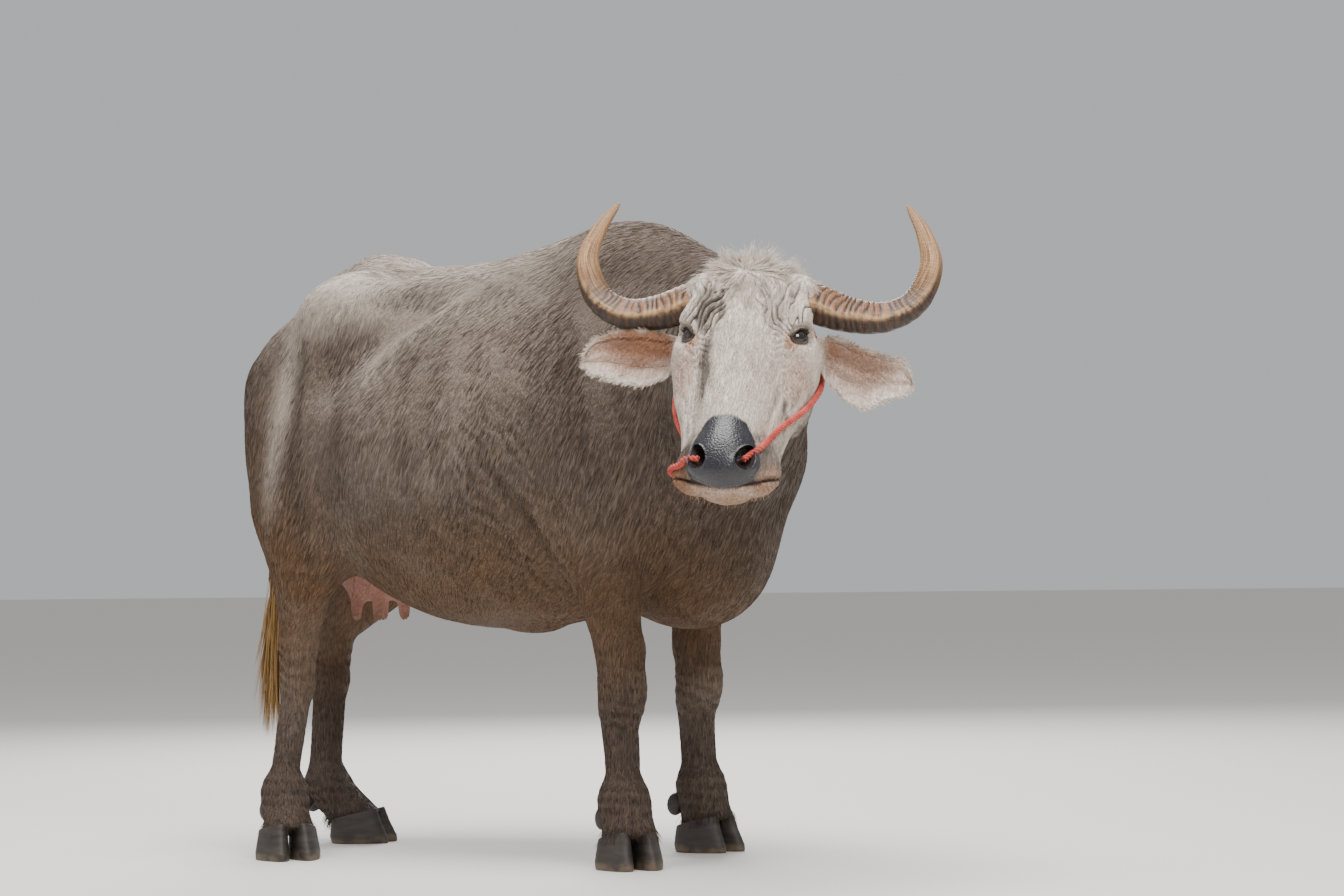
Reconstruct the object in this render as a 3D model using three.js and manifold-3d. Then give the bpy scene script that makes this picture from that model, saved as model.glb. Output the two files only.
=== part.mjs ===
// A life-size swamp buffalo cow, standing still with the head turned to the right.
// Millimetres. +X runs towards the chest, +Y to the animal's left, +Z up, and the hooves stand at Z 0.
// The flesh is one field of muscle and bone masses that blend into each other. Each sub-part is
// meshed from that field in its own grid, and thin cuts part it from its neighbours.
import * as THREE from "three";
import { mergeVertices } from "three/addons/utils/BufferGeometryUtils.js";
import Module from "manifold-3d";

const wasm = await Module();
wasm.setup();

// Driving sizes
const WITHERS = 1282; // top of the hump
const BACK = 1217; // lowest point of the back line
const CROUP = 1250; // top of the sacral ridge
const BELLY = 462; // lowest point of the barrel
const BARREL_HALF = 380; // half the width of the barrel
const CHEST_X = 205; // foremost point of the breast
const HIP = [-662, 226, 1142]; // left hip bone
const PIN = [-948, 100, 985]; // left pin bone
const GAP = 0.35; // between touching pieces
const FINEST = 0.05; // edges shorter than this are closed up
const HEAD_AT = [427, -417, 1132]; // poll, between the horns
const HEAD_YAW = -70.5; // degrees, turned to the animal's right
const HEAD_PITCH = 48; // degrees, the face line below the horizon
const HEAD_ROLL = -3.5;
const EYE_AT = [129, 93, -50]; // centre of the left eyeball, in the head's frame
const EYE_R = 21;
const HORN_HALF = [48, 33]; // half the height and thickness of a horn at its root
const CORONET = 62; // height of the hair line over the claws
const ROPE_R = 6;
const OUTER = 520; // half the width of the room that the legs are cut in

const radians = THREE.MathUtils.degToRad;
const vec = (p) => new THREE.Vector3(...p);
const mix = THREE.MathUtils.lerp;
const bump = (t, centre, width) => Math.exp(-(((t - centre) / width) ** 2));
const mirrored = ([x, y, z], side) => [x, side * y, z];

// Seeded random numbers from 0 to 1, so that every build is the same
function dice(seed) {
  let state = seed;
  return () => {
    state = (state * 1664525 + 1013904223) % 4294967296;
    return state / 4294967296;
  };
}

// Frames: the body's own, and the head's with X down the face, Y to its left, Z out of the forehead
function frameAt(origin, yaw, pitch, roll) {
  return new THREE.Matrix4()
    .makeTranslation(...origin)
    .multiply(new THREE.Matrix4().makeRotationZ(radians(yaw)))
    .multiply(new THREE.Matrix4().makeRotationY(radians(pitch)))
    .multiply(new THREE.Matrix4().makeRotationX(radians(roll)));
}
const BODY = new THREE.Matrix4();
const HEAD = frameAt(HEAD_AT, HEAD_YAW, HEAD_PITCH, HEAD_ROLL);

// One rounded mass of flesh: an ellipsoid, turned by degrees about X, Y and Z
function mass(at, size, { turn = [0, 0, 0], blend = 40, frame = BODY, hollow = false } = {}) {
  const inverse = frame
    .clone()
    .multiply(new THREE.Matrix4().makeTranslation(...at))
    .multiply(new THREE.Matrix4().makeRotationFromEuler(new THREE.Euler(...turn.map(radians), "ZYX")))
    .invert().elements;
  const [a, b, c] = size;
  const distance = (x, y, z) => {
    const px = inverse[0] * x + inverse[4] * y + inverse[8] * z + inverse[12];
    const py = inverse[1] * x + inverse[5] * y + inverse[9] * z + inverse[13];
    const pz = inverse[2] * x + inverse[6] * y + inverse[10] * z + inverse[14];
    const near = Math.hypot(px / a, py / b, pz / c);
    const slope = Math.hypot(px / (a * a), py / (b * b), pz / (c * c));
    return slope < 1e-9 ? -Math.min(a, b, c) : (near * (near - 1)) / slope;
  };
  return { distance, blend, hollow };
}

// One tapered limb of flesh between two points, flattened across a given direction
function limb(from, to, rFrom, rTo, options = {}) {
  const { blend = 40, frame = BODY, flat = 1, across = [0, 1, 0], hollow = false } = options;
  const a = vec(from).applyMatrix4(frame);
  const b = vec(to).applyMatrix4(frame);
  const side = vec(across).transformDirection(frame);
  const stretch = 1 / flat - 1;
  const run = b.clone().sub(a);
  run.addScaledVector(side, run.dot(side) * stretch);
  const length2 = run.lengthSq();
  const distance = (x, y, z) => {
    let px = x - a.x;
    let py = y - a.y;
    let pz = z - a.z;
    const shift = (px * side.x + py * side.y + pz * side.z) * stretch;
    px += shift * side.x;
    py += shift * side.y;
    pz += shift * side.z;
    const t = Math.min(1, Math.max(0, (px * run.x + py * run.y + pz * run.z) / length2));
    const r = rFrom + (rTo - rFrom) * t;
    return (Math.hypot(px - run.x * t, py - run.y * t, pz - run.z * t) - r) * Math.min(1, flat);
  };
  return { distance, blend, hollow };
}

// A chain of limbs through points, each given with its radius
function chain(stations, options) {
  return stations.slice(1).map(([p, r], i) => limb(stations[i][0], p, stations[i][1], r, options));
}

// The smooth union of many masses: below zero inside
function fieldOf(forms) {
  return (x, y, z) => {
    let d = 1e4;
    for (const { distance, blend, hollow } of forms) {
      const own = hollow ? -distance(x, y, z) : distance(x, y, z);
      const h = Math.max(blend - Math.abs(d - own), 0) / blend;
      d = hollow ? Math.max(d, own) + h * h * blend * 0.25 : Math.min(d, own) - h * h * blend * 0.25;
    }
    return d;
  };
}

// The outward slope of a field at a point
function slopeOf(field, p, step = 2) {
  return new THREE.Vector3(
    field(p.x + step, p.y, p.z) - field(p.x - step, p.y, p.z),
    field(p.x, p.y + step, p.z) - field(p.x, p.y - step, p.z),
    field(p.x, p.y, p.z + step) - field(p.x, p.y, p.z - step),
  ).divideScalar(2 * step);
}

// Moves a point along the field's slope until it is at the given height over the skin
function settle(field, point, height = 0, rounds = 12) {
  const p = point.clone();
  for (let i = 0; i < rounds; i++) {
    const slope = slopeOf(field, p);
    p.addScaledVector(slope, (height - field(p.x, p.y, p.z)) / Math.max(slope.lengthSq(), 0.2));
  }
  return p;
}

const both = (build) => [1, -1].flatMap((side) => build(side));

// Legs, each posed by the places of its joints: hoof centre on the ground, then upwards
const LEGS = {
  front_right: {
    side: -1, fore: true, toe: -38,
    room: { back: -175, front: 125, inner: 108, low: 520, high: 680 },
    hoof: [0, -205], fetlock: [-14, -200, 130], knee: [-18, -196, 345], elbow: [-66, -205, 610],
  },
  front_left: {
    side: 1, fore: true, toe: -12,
    room: { back: -205, front: 90, inner: 108, low: 520, high: 680 },
    hoof: [-88, 222], fetlock: [-100, 220, 130], knee: [-96, 206, 345], elbow: [-100, 205, 610],
  },
  hind_right: {
    side: -1, fore: false, toe: -40,
    room: { back: -1100, front: -700, inner: 50, low: 562, high: 590 },
    hoof: [-792, -268], fetlock: [-818, -244, 130], hock: [-826, -188, 400], stifle: [-745, -225, 655],
  },
  hind_left: {
    side: 1, fore: false, toe: 16,
    room: { back: -1200, front: -700, inner: 40, low: 562, high: 590 },
    hoof: [-928, 150], fetlock: [-998, 132, 120], hock: [-994, 140, 395], stifle: [-830, 205, 640],
  },
};

const offset = (p, dx, dy, dz) => [p[0] + dx, p[1] + dy, p[2] + dz];

// Where a leg's toes point, on the ground
function toeWay(leg) {
  const turn = radians(leg.toe);
  return new THREE.Vector3(Math.cos(turn), Math.sin(turn), 0);
}

// Where the pastern enters the hoof: lower, the more it slopes
function pasternFoot({ hoof, fetlock }) {
  const reach = Math.hypot(hoof[0] - fetlock[0], hoof[1] - fetlock[1]);
  return [...hoof, 70 - 0.42 * reach];
}

// Elbow, forearm, knee, cannon and pastern
function foreLegFlesh(leg) {
  const { side, fetlock, knee, elbow } = leg;
  const toe = toeWay(leg);
  const joint = { blend: 22 };
  return [
    mass(offset(elbow, 20, -side * 5, 110), [98, 70, 150], { blend: 60, turn: [0, 12, 0] }),
    mass(offset(elbow, -38, -side * 5, 40), [52, 44, 62], { blend: 50 }),
    limb(offset(elbow, 14, 0, 0), offset(knee, -4, 0, 78), 80, 46, { blend: 40, flat: 0.88 }),
    limb(offset(knee, 0, 0, 78), offset(knee, 0, 0, -25), 46, 42, joint),
    mass(offset(knee, 8 * toe.x, 8 * toe.y, 6), [45, 45, 60], joint),
    limb(offset(knee, -3, 0, -30), offset(fetlock, 0, 0, 44), 35, 34, joint),
    limb(offset(knee, -26, 0, -50), offset(fetlock, -22 * toe.x, -22 * toe.y, 20), 17, 20, joint),
    mass(fetlock, [49, 49, 44], { blend: 28 }),
    limb(fetlock, pasternFoot(leg), 45, 55, { blend: 24 }),
  ];
}

// Gaskin, hock, cannon and pastern
function hindLegFlesh(leg) {
  const { side, fetlock, hock, stifle } = leg;
  const toe = toeWay(leg);
  const joint = { blend: 20 };
  const heel = (reach, up) => offset(hock, -reach * toe.x, -reach * toe.y, up);
  return [
    mass(offset(stifle, -6, -side * 6, 40), [98, 66, 120], { blend: 70 }),
    limb(offset(stifle, -26, -side * 6, -40), offset(hock, 10, 0, 60), 82, 42, { blend: 46, flat: 0.76 }),
    limb(offset(stifle, -96, -side * 20, 60), heel(42, 44), 54, 15, { blend: 46, flat: 0.7 }),
    limb(heel(-8, 30), heel(-6, -45), 42, 35, joint),
    limb(heel(40, 26), heel(24, -60), 19, 17, joint),
    limb(heel(-4, -50), offset(fetlock, 0, 0, 42), 33, 31, { ...joint, flat: 0.88 }),
    limb(heel(20, -70), offset(fetlock, -24 * toe.x, -24 * toe.y, 20), 17, 19, joint),
    mass(fetlock, [47, 46, 43], { blend: 28 }),
    limb(fetlock, pasternFoot(leg), 42, 53, { blend: 24 }),
  ];
}

// Barrel, back, hump, chest, pelvis and thighs
const trunkFlesh = [
  mass([-220, 0, 850], [470, 305, 340]),
  mass([-405, 0, BELLY + 342], [445, BARREL_HALF, 342], { blend: 80 }),
  limb([-720, 0, CROUP - 122], [-300, 0, BACK - 90], 90, 86, { blend: 80 }),
  limb([-300, 0, BACK - 90], [-20, 0, BACK - 100], 86, 90, { blend: 80 }),
  mass([-115, 0, WITHERS - 180], [200, 84, 180], { blend: 80 }),
  mass([24, 0, 770], [CHEST_X - 34, 198, 270], { blend: 90 }),
  mass([36, 0, 596], [142, 112, 126], { blend: 90 }),
  limb([-735, 0, CROUP - 80], [-825, 0, CROUP - 116], 76, 68, { blend: 60 }),
  limb([-825, 0, CROUP - 120], [-915, 0, CROUP - 200], 64, 42, { blend: 60 }),
  mass([-775, 0, 960], [176, 190, 165], { blend: 80 }),
  mass([-352, 0, BELLY + 14], [60, 26, 22], { blend: 24 }),
  ...both((side) => {
    const hip = mirrored(HIP, side);
    const pin = mirrored(PIN, side);
    return [
      // hip bone, its wing to the spine, its ridge to the pin bone, its sheet down to the thigh
      limb(offset(hip, 0, -side * 6, -6), offset(hip, -70, -side * 30, -26), 34, 44, { blend: 60 }),
      limb(offset(hip, -8, -side * 34, -14), [-690, side * 66, CROUP - 82], 42, 58, { blend: 60 }),
      limb(offset(hip, -40, -side * 40, -50), offset(pin, 30, 0, 10), 52, 46, { blend: 80 }),
      limb(offset(hip, -22, -side * 26, -60), [-735, side * 205, 800], 46, 76, { blend: 80 }),
      mass(pin, [40, 40, 46], { blend: 60 }),
      // thigh from hip to stifle and its rear edge
      mass([-806, side * 166, 850], [146, 92, 235], { blend: 80, turn: [0, -6, 0] }),
      limb([-900, side * 112, 940], [-868, side * 168, 700], 58, 46, { blend: 70 }),
      // shoulder blade, point of shoulder and the muscle behind the upper arm
      limb([-110, side * 88, 1165], [40, side * 182, 900], 58, 84, { blend: 80, flat: 0.75 }),
      mass([88, side * 158, 810], [88, 76, 105], { blend: 60 }),
      mass([-70, side * 205, 800], [110, 80, 130], { blend: 60 }),
      // shelf of the loin, hollow of the flank
      limb([-640, side * 150, CROUP - 130], [-330, side * 110, BACK - 92], 58, 50, { blend: 80 }),
      mass([-570, side * 398, 1040], [120, 116, 90], { blend: 110, hollow: true }),
    ];
  }),
];

// Neck: crest on top, the sides, and the throat below
const neckFlesh = [
  ...chain(
    [[[-40, 0, 1130], 98], [[110, -35, 1100], 84], [[250, -160, 1080], 74], [[360, -325, 1085], 64]],
    { blend: 60 },
  ),
  ...chain(
    [[[30, 0, 970], 190], [[150, -60, 960], 148], [[270, -195, 975], 112], [[370, -330, 990], 92]],
    { blend: 80 },
  ),
  ...chain(
    [[[50, -5, 830], 165], [[150, -80, 850], 116], [[245, -205, 890], 86], [[350, -330, 925], 72]],
    { blend: 80 },
  ),
];

const inHead = (extra = {}) => ({ frame: HEAD, blend: 26, ...extra });
const headFlesh = [
  // skull, forehead, horn bosses, bridge of the nose
  mass([70, 0, -96], [122, 112, 94], inHead({ blend: 60 })),
  mass([105, 0, -46], [120, 106, 48], inHead()),
  limb([18, -84, -52], [18, 84, -52], 44, 44, inHead()),
  limb([150, 0, -62], [385, 0, -60], 62, 46, inHead({ flat: 0.9, blend: 36 })),
  limb([165, 0, -104], [395, 0, -92], 92, 70, inHead({ blend: 36 })),
  // nose pad, lower jaw, chin
  mass([428, 0, -56], [56, 60, 42], inHead({ blend: 20 })),
  mass([412, 0, -88], [58, 78, 44], inHead({ blend: 26 })),
  limb([120, 0, -170], [370, 0, -142], 64, 44, inHead({ blend: 40 })),
  mass([416, 0, -128], [50, 60, 30], inHead({ blend: 14 })),
  ...both((side) => [
    // orbit, brow fold, temple, cheek, face ridge, upper lip, rim of the nostril
    mass([142, side * 94, -72], [54, 40, 42], inHead({ blend: 28 })),
    mass([96, side * 88, -36], [42, 34, 30], inHead({ blend: 22 })),
    mass([95, side * 70, -158], [72, 46, 62], inHead({ blend: 40 })),
    mass([175, side * 84, -142], [100, 42, 70], inHead({ blend: 40 })),
    limb([160, side * 96, -104], [375, side * 62, -108], 32, 26, inHead({ blend: 34 })),
    mass([424, side * 54, -98], [50, 44, 30], inHead({ blend: 16 })),
    mass([446, side * 42, -50], [26, 24, 24], inHead({ blend: 12 })),
  ]),
];

const legFlesh = Object.fromEntries(
  Object.entries(LEGS).map(([name, leg]) => [name, leg.fore ? foreLegFlesh(leg) : hindLegFlesh(leg)]),
);

const flesh = fieldOf([...trunkFlesh, ...neckFlesh, ...headFlesh, ...Object.values(legFlesh).flat()]);

// Grid lines from a start through [step, end] stretches
function ruler(start, ...stretches) {
  const lines = [start];
  for (const [step, end] of stretches) {
    const from = lines.at(-1);
    const count = Math.max(1, Math.round((end - from) / step));
    for (let i = 1; i <= count; i++) lines.push(mix(from, end, i / count));
  }
  return lines;
}

// Which corners of a cell are joined to each other through its inside edges
const CORNERS = [0, 1, 2, 3, 4, 5, 6, 7].map((c) => [c & 1, (c >> 1) & 1, (c >> 2) & 1]);
const EDGES = [1, 2, 4].flatMap((bit) => CORNERS.flatMap((_, c) => (c & bit ? [] : [[c, c | bit]])));
function islandsOf(inside) {
  const label = CORNERS.map((_, c) => c);
  for (let round = 0; round < 3; round++)
    for (const [a, b] of EDGES)
      if (inside[a] && inside[b]) label[a] = label[b] = Math.min(label[a], label[b]);
  return label;
}

// Meshes the zero surface of a field inside a grid of its own frame, with one vertex to each
// sheet of it in a cell. Where the flesh runs out of the grid, the grid's side closes it.
function skinOf(field, xs, ys, zs, frame = BODY) {
  const [nx, ny, nz] = [xs.length, ys.length, zs.length];
  const index = (i, j, k) => (i * ny + j) * nz + k;
  const values = new Float64Array(nx * ny * nz);
  const p = new THREE.Vector3();
  for (let i = 0; i < nx; i++)
    for (let j = 0; j < ny; j++)
      for (let k = 0; k < nz; k++) {
        const rim = i === 0 || j === 0 || k === 0 || i === nx - 1 || j === ny - 1 || k === nz - 1;
        p.set(xs[i], ys[j], zs[k]).applyMatrix4(frame);
        const value = field(p.x, p.y, p.z);
        values[index(i, j, k)] = rim ? Math.max(0.5, value) : value;
      }
  const vertexOf = new Map();
  const positions = [];
  for (let i = 0; i < nx - 1; i++)
    for (let j = 0; j < ny - 1; j++)
      for (let k = 0; k < nz - 1; k++) {
        const own = CORNERS.map(([u, v, w]) => values[index(i + u, j + v, k + w)]);
        const inside = own.map((value) => value < 0);
        if (inside.every(Boolean) || !inside.some(Boolean)) continue;
        const islands = islandsOf(inside);
        const sums = new Map();
        for (const [a, b] of EDGES) {
          if (inside[a] === inside[b]) continue;
          const island = islands[inside[a] ? a : b];
          if (!sums.has(island)) sums.set(island, { at: new THREE.Vector3(), count: 0 });
          const t = own[a] / (own[a] - own[b]);
          const cut = CORNERS[a].map((u, axis) => mix(u, CORNERS[b][axis], t));
          sums.get(island).at.add(vec(cut));
          sums.get(island).count++;
        }
        const atRim = i === 0 || j === 0 || k === 0 || i === nx - 2 || j === ny - 2 || k === nz - 2;
        for (const [island, { at, count }] of sums) {
          at.divideScalar(count);
          p.set(mix(xs[i], xs[i + 1], at.x), mix(ys[j], ys[j + 1], at.y), mix(zs[k], zs[k + 1], at.z));
          p.applyMatrix4(frame);
          sums.set(island, positions.length / 3);
          positions.push(...(atRim ? p : settle(field, p, 0, 2)));
        }
        vertexOf.set(index(i, j, k), islands.map((island) => sums.get(island)));
      }
  const faces = [];
  const point = (v) => new THREE.Vector3().fromArray(positions, 3 * v);
  const quad = (a, b, c, d) => {
    if (point(a).distanceTo(point(c)) < point(b).distanceTo(point(d))) faces.push(a, b, c, a, c, d);
    else faces.push(a, b, d, b, c, d);
  };
  const around = [[0, 0], [-1, 0], [-1, -1], [0, -1]];
  for (let i = 0; i < nx - 1; i++)
    for (let j = 0; j < ny - 1; j++)
      for (let k = 0; k < nz - 1; k++) {
        const here = values[index(i, j, k)] < 0;
        for (const axis of [0, 1, 2]) {
          const step = [0, 1, 2].map((n) => Number(n === axis));
          if (here === values[index(i + step[0], j + step[1], k + step[2])] < 0) continue;
          const ring = around.map(([u, v]) => {
            const cell = [0, 0, 0];
            cell[(axis + 1) % 3] = u;
            cell[(axis + 2) % 3] = v;
            const [x, y, z] = cell.map((c, n) => (here ? 0 : step[n]) - c);
            return vertexOf.get(index(i + cell[0], j + cell[1], k + cell[2]))[x + 2 * y + 4 * z];
          });
          quad(...(here ? ring : ring.reverse()));
        }
      }
  const geometry = new THREE.BufferGeometry();
  geometry.setAttribute("position", new THREE.Float32BufferAttribute(positions, 3));
  geometry.setIndex(faces);
  return geometry;
}

// A closed geometry as a solid that can be joined and cut
function solidOf(geometry) {
  const bare = (geometry.index ? geometry.toNonIndexed() : geometry).clone();
  for (const name of Object.keys(bare.attributes)) if (name !== "position") bare.deleteAttribute(name);
  const merged = mergeVertices(bare, 1e-3);
  return new wasm.Manifold(
    new wasm.Mesh({
      numProp: 3,
      vertProperties: new Float32Array(merged.attributes.position.array),
      triVerts: new Uint32Array(merged.index.array),
      tolerance: FINEST,
    }),
  );
}

// Only the largest closed surface of a solid
function whole(solid) {
  return solid.decompose().sort((a, b) => b.volume() - a.volume())[0];
}

function meshOf(name, solid, material) {
  const { numProp, vertProperties, triVerts } = solid.getMesh();
  const positions = [];
  for (let i = 0; i < vertProperties.length; i += numProp)
    positions.push(vertProperties[i], vertProperties[i + 1], vertProperties[i + 2]);
  const geometry = new THREE.BufferGeometry();
  geometry.setAttribute("position", new THREE.Float32BufferAttribute(positions, 3));
  geometry.setIndex([...triVerts]);
  geometry.computeVertexNormals();
  const mesh = new THREE.Mesh(geometry, material);
  mesh.name = name;
  return mesh;
}

// A closed skin over rings of equally many points, with a fan over each end
function loft(rings) {
  const n = rings[0].length;
  const positions = rings.flat().flatMap((p) => [p.x, p.y, p.z]);
  const middle = (ring) => ring.reduce((sum, p) => sum.add(p), new THREE.Vector3()).divideScalar(n);
  for (const ring of [rings[0], rings.at(-1)]) positions.push(...middle(ring));
  const faces = [];
  const last = (rings.length - 1) * n;
  for (let i = 0; i < n; i++) {
    const j = (i + 1) % n;
    for (let r = 0; r < last; r += n) faces.push(r + i, r + j, r + n + j, r + i, r + n + j, r + n + i);
    faces.push(last + n, j, i, last + n + 1, last + i, last + j);
  }
  const geometry = new THREE.BufferGeometry();
  geometry.setAttribute("position", new THREE.Float32BufferAttribute(positions, 3));
  geometry.setIndex(faces);
  return geometry;
}

// Rings across a curve. section(t, angle) gives the two offsets, the first along the up direction.
function ringsAlong(curve, count, sides, up, section) {
  const rings = [];
  for (let i = 0; i <= count; i++) {
    const t = i / count;
    const way = curve.getTangentAt(t);
    const across = new THREE.Vector3().crossVectors(way, typeof up === "function" ? up(t) : up).normalize();
    const over = new THREE.Vector3().crossVectors(across, way).normalize();
    const centre = curve.getPointAt(t);
    const ring = [];
    for (let s = 0; s < sides; s++) {
      const [high, wide] = section(t, (2 * Math.PI * s) / sides);
      ring.push(centre.clone().addScaledVector(over, high).addScaledVector(across, wide));
    }
    rings.push(ring);
  }
  return rings;
}

const curveOf = (points, frame) => new THREE.CatmullRomCurve3(points.map((p) => vec(p).applyMatrix4(frame)));

// A round tube along a curve, tapering from one radius to the other
function tube(curve, count, sides, rFrom, rTo, up = new THREE.Vector3(0, 0, 1)) {
  return loft(
    ringsAlong(curve, count, sides, up, (t, angle) => {
      const r = mix(rFrom, rTo, t);
      return [r * Math.cos(angle), r * Math.sin(angle)];
    }),
  );
}

// A flat lock of hair: it leaves its root in one way, bends over to another and tapers to its tip,
// with its flat side to the given face. The root is sunk by the given depth.
function lock(root, way, bend, face, { long, wide, thick, under = 8 }) {
  const points = [0, 0.35, 0.7, 1].map((t) => {
    const p = root.clone().addScaledVector(way, (long + under) * t * (1 - 0.5 * t) - under);
    return p.addScaledVector(bend, long * 0.5 * t * t);
  });
  return loft(
    ringsAlong(new THREE.CatmullRomCurve3(points), 3, 4, face, (t, angle) => {
      const width = wide * [0.8, 1, 0.8, 0.25][Math.round(t * 3)];
      return [thick * Math.cos(angle) * (1 - 0.6 * t), width * Math.sin(angle)];
    }),
  );
}

// A block that fills everything beyond a plane
function beyond(point, way, lift = 0) {
  const size = 3000;
  const block = new THREE.BoxGeometry(size, size, size);
  block.translate(0, 0, size / 2 + lift);
  const up = new THREE.Vector3(0, 0, 1);
  const turn = new THREE.Quaternion().setFromUnitVectors(up, way.clone().normalize());
  block.applyQuaternion(turn);
  block.translate(point.x, point.y, point.z);
  return solidOf(block);
}

// The room of one leg: below a cut that drops from its outer to its inner side
function legRoom({ side, room }, grow = 0) {
  const { back, front, inner, low, high } = room;
  const slope = (high - low) / (OUTER - inner);
  const shape = new THREE.Shape([
    new THREE.Vector2(side * (inner - grow), -50),
    new THREE.Vector2(side * OUTER, -50),
    new THREE.Vector2(side * OUTER, high + grow),
    new THREE.Vector2(side * (inner - grow), low + grow * (1 - slope)),
  ]);
  const block = new THREE.ExtrudeGeometry(shape, { depth: front - back + 2 * grow, bevelEnabled: false });
  const [x, y, z] = [new THREE.Vector3(1, 0, 0), new THREE.Vector3(0, 1, 0), new THREE.Vector3(0, 0, 1)];
  block.applyMatrix4(new THREE.Matrix4().makeBasis(y, z, x));
  block.translate(back - grow, 0, 0);
  return solidOf(block);
}

// A small piece set on its carrier: what lies inside the carrier goes, and a thin gap opens
function setOn(piece, carriers, way) {
  const rest = carriers.reduce((left, carrier) => left.subtract(carrier), piece);
  const shift = way.clone().normalize().multiplyScalar(GAP);
  return whole(rest).translate([shift.x, shift.y, shift.z]);
}

const ball = (size, frame, [u, v]) => new THREE.SphereGeometry(1, u, v).scale(...size).applyMatrix4(frame);
const placed = (frame, at, turn = [0, 0, 0]) =>
  frame
    .clone()
    .multiply(new THREE.Matrix4().makeTranslation(...at))
    .multiply(new THREE.Matrix4().makeRotationFromEuler(new THREE.Euler(...turn.map(radians), "ZYX")));

// Colours
const paint = (color, roughness) => new THREE.MeshStandardMaterial({ color, roughness, metalness: 0 });
const HIDE = 0x7d6f66;
const material = {
  hide: () => paint(HIDE, 0.8),
  face: () => paint(0x9c9088, 0.8),
  ear: () => paint(0x9a7f6d, 0.8),
  horn: () => paint(0x7a5c43, 0.55),
  eye: () => paint(0x1d120c, 0.1),
  claw: () => paint(0x3b3634, 0.6),
  dewclaw: () => paint(0x23201f, 0.6),
  tail: () => paint(0x8a7458, 0.85),
  udder: () => paint(0xb58a7c, 0.7),
  rope: () => paint(0xb5564a, 0.75),
};

// Trunk, neck and head share one flesh and part at two planes
const headAxis = (x, y, z) => new THREE.Vector3(x, y, z).transformDirection(HEAD);
const headPoint = (x, y, z) => new THREE.Vector3(x, y, z).applyMatrix4(HEAD);
const NAPE = { at: headPoint(-95, 0, -85), way: headAxis(0.6435, 0, 0.765) };
const COLLAR = { at: new THREE.Vector3(95, -20, 1000), way: new THREE.Vector3(0.85, -0.35, 0.4) };

const bodyGrid = [
  ruler(-1120, [70, -60], [54, 300], [40, 540]),
  ruler(-530, [50, -230], [60, 440]),
  ruler(390, [57, 1340]),
];
const body = solidOf(skinOf(flesh, ...bodyGrid));
let torso = body.subtract(beyond(COLLAR.at, COLLAR.way));
for (const leg of Object.values(LEGS)) torso = torso.subtract(legRoom(leg, GAP));
torso = whole(torso);
const foremost = body.intersect(beyond(COLLAR.at, COLLAR.way, GAP));
const neck = whole(foremost.subtract(beyond(NAPE.at, NAPE.way, -GAP)));

// Eyes, with lids as two arcs over each
function eyeFrame(side) {
  const out = headAxis(0.25, side * 0.8, 0.55);
  const along = headAxis(-0.7, side * 0.45, -0.55);
  const up = new THREE.Vector3().crossVectors(out, along).normalize();
  const long = new THREE.Vector3().crossVectors(up, out).normalize();
  return new THREE.Matrix4().makeBasis(long, up, out).setPosition(headPoint(...mirrored(EYE_AT, side)));
}

// The bowl of the eye, between the lids
function eyeBowl(side) {
  const frame = eyeFrame(side).multiply(new THREE.Matrix4().makeTranslation(0, 0, 24));
  return ball([25, 17, 19], frame, [10, 6]);
}

function lid(side, height) {
  const frame = eyeFrame(side);
  const reach = EYE_R + 2.5;
  const points = [-1, -0.6, -0.2, 0.2, 0.6, 1].map((u) => {
    const sweep = u * 1.05;
    const lift = height * Math.cos((u * Math.PI) / 2);
    const p = new THREE.Vector3(Math.sin(sweep), lift, Math.cos(sweep) * Math.cos(lift));
    return p.setLength(reach).applyMatrix4(frame);
  });
  return tube(new THREE.CatmullRomCurve3(points), 6, 6, 5.5, 5.5, headAxis(1, 0, 0));
}

// The nose rope's path on the left: out of the nostril, over the cheek, under the ear, up the nape
const ROPE_SIDE = [
  [446, 40, -36], [402, 60, -52], [371, 68, -66], [323, 86, -82], [268, 114, -100],
  [195, 138, -128], [130, 128, -160], [65, 105, -170], [0, 75, -140], [-45, 38, -95],
];
const ROPE_CUTS = 26;
const ROPE_SIDES = 5;
function ropeCurve() {
  const left = ROPE_SIDE.map((p) => headPoint(...p));
  const right = ROPE_SIDE.map((p) => headPoint(...mirrored(p, -1))).reverse();
  const onSkin = [...left, headPoint(-60, 0, -75), ...right].map((p, i, all) =>
    i === 0 || i === all.length - 1 ? p : settle(flesh, p, ROPE_R - 1.5),
  );
  return new THREE.CatmullRomCurve3(onSkin);
}

const headGrid = [
  ruler(-170, [30, -40], [23, 90], [18, 170], [30, 350], [16, 510]),
  ruler(-176, [22, 176]),
  ruler(-350, [36, -180], [19, 60]),
];
let head = solidOf(skinOf(flesh, ...headGrid, HEAD)).intersect(beyond(NAPE.at, NAPE.way));
for (const side of [1, -1]) {
  head = head.subtract(solidOf(eyeBowl(side)));
  head = head.add(solidOf(lid(side, 0.62))).add(solidOf(lid(side, -0.5)));
}

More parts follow.
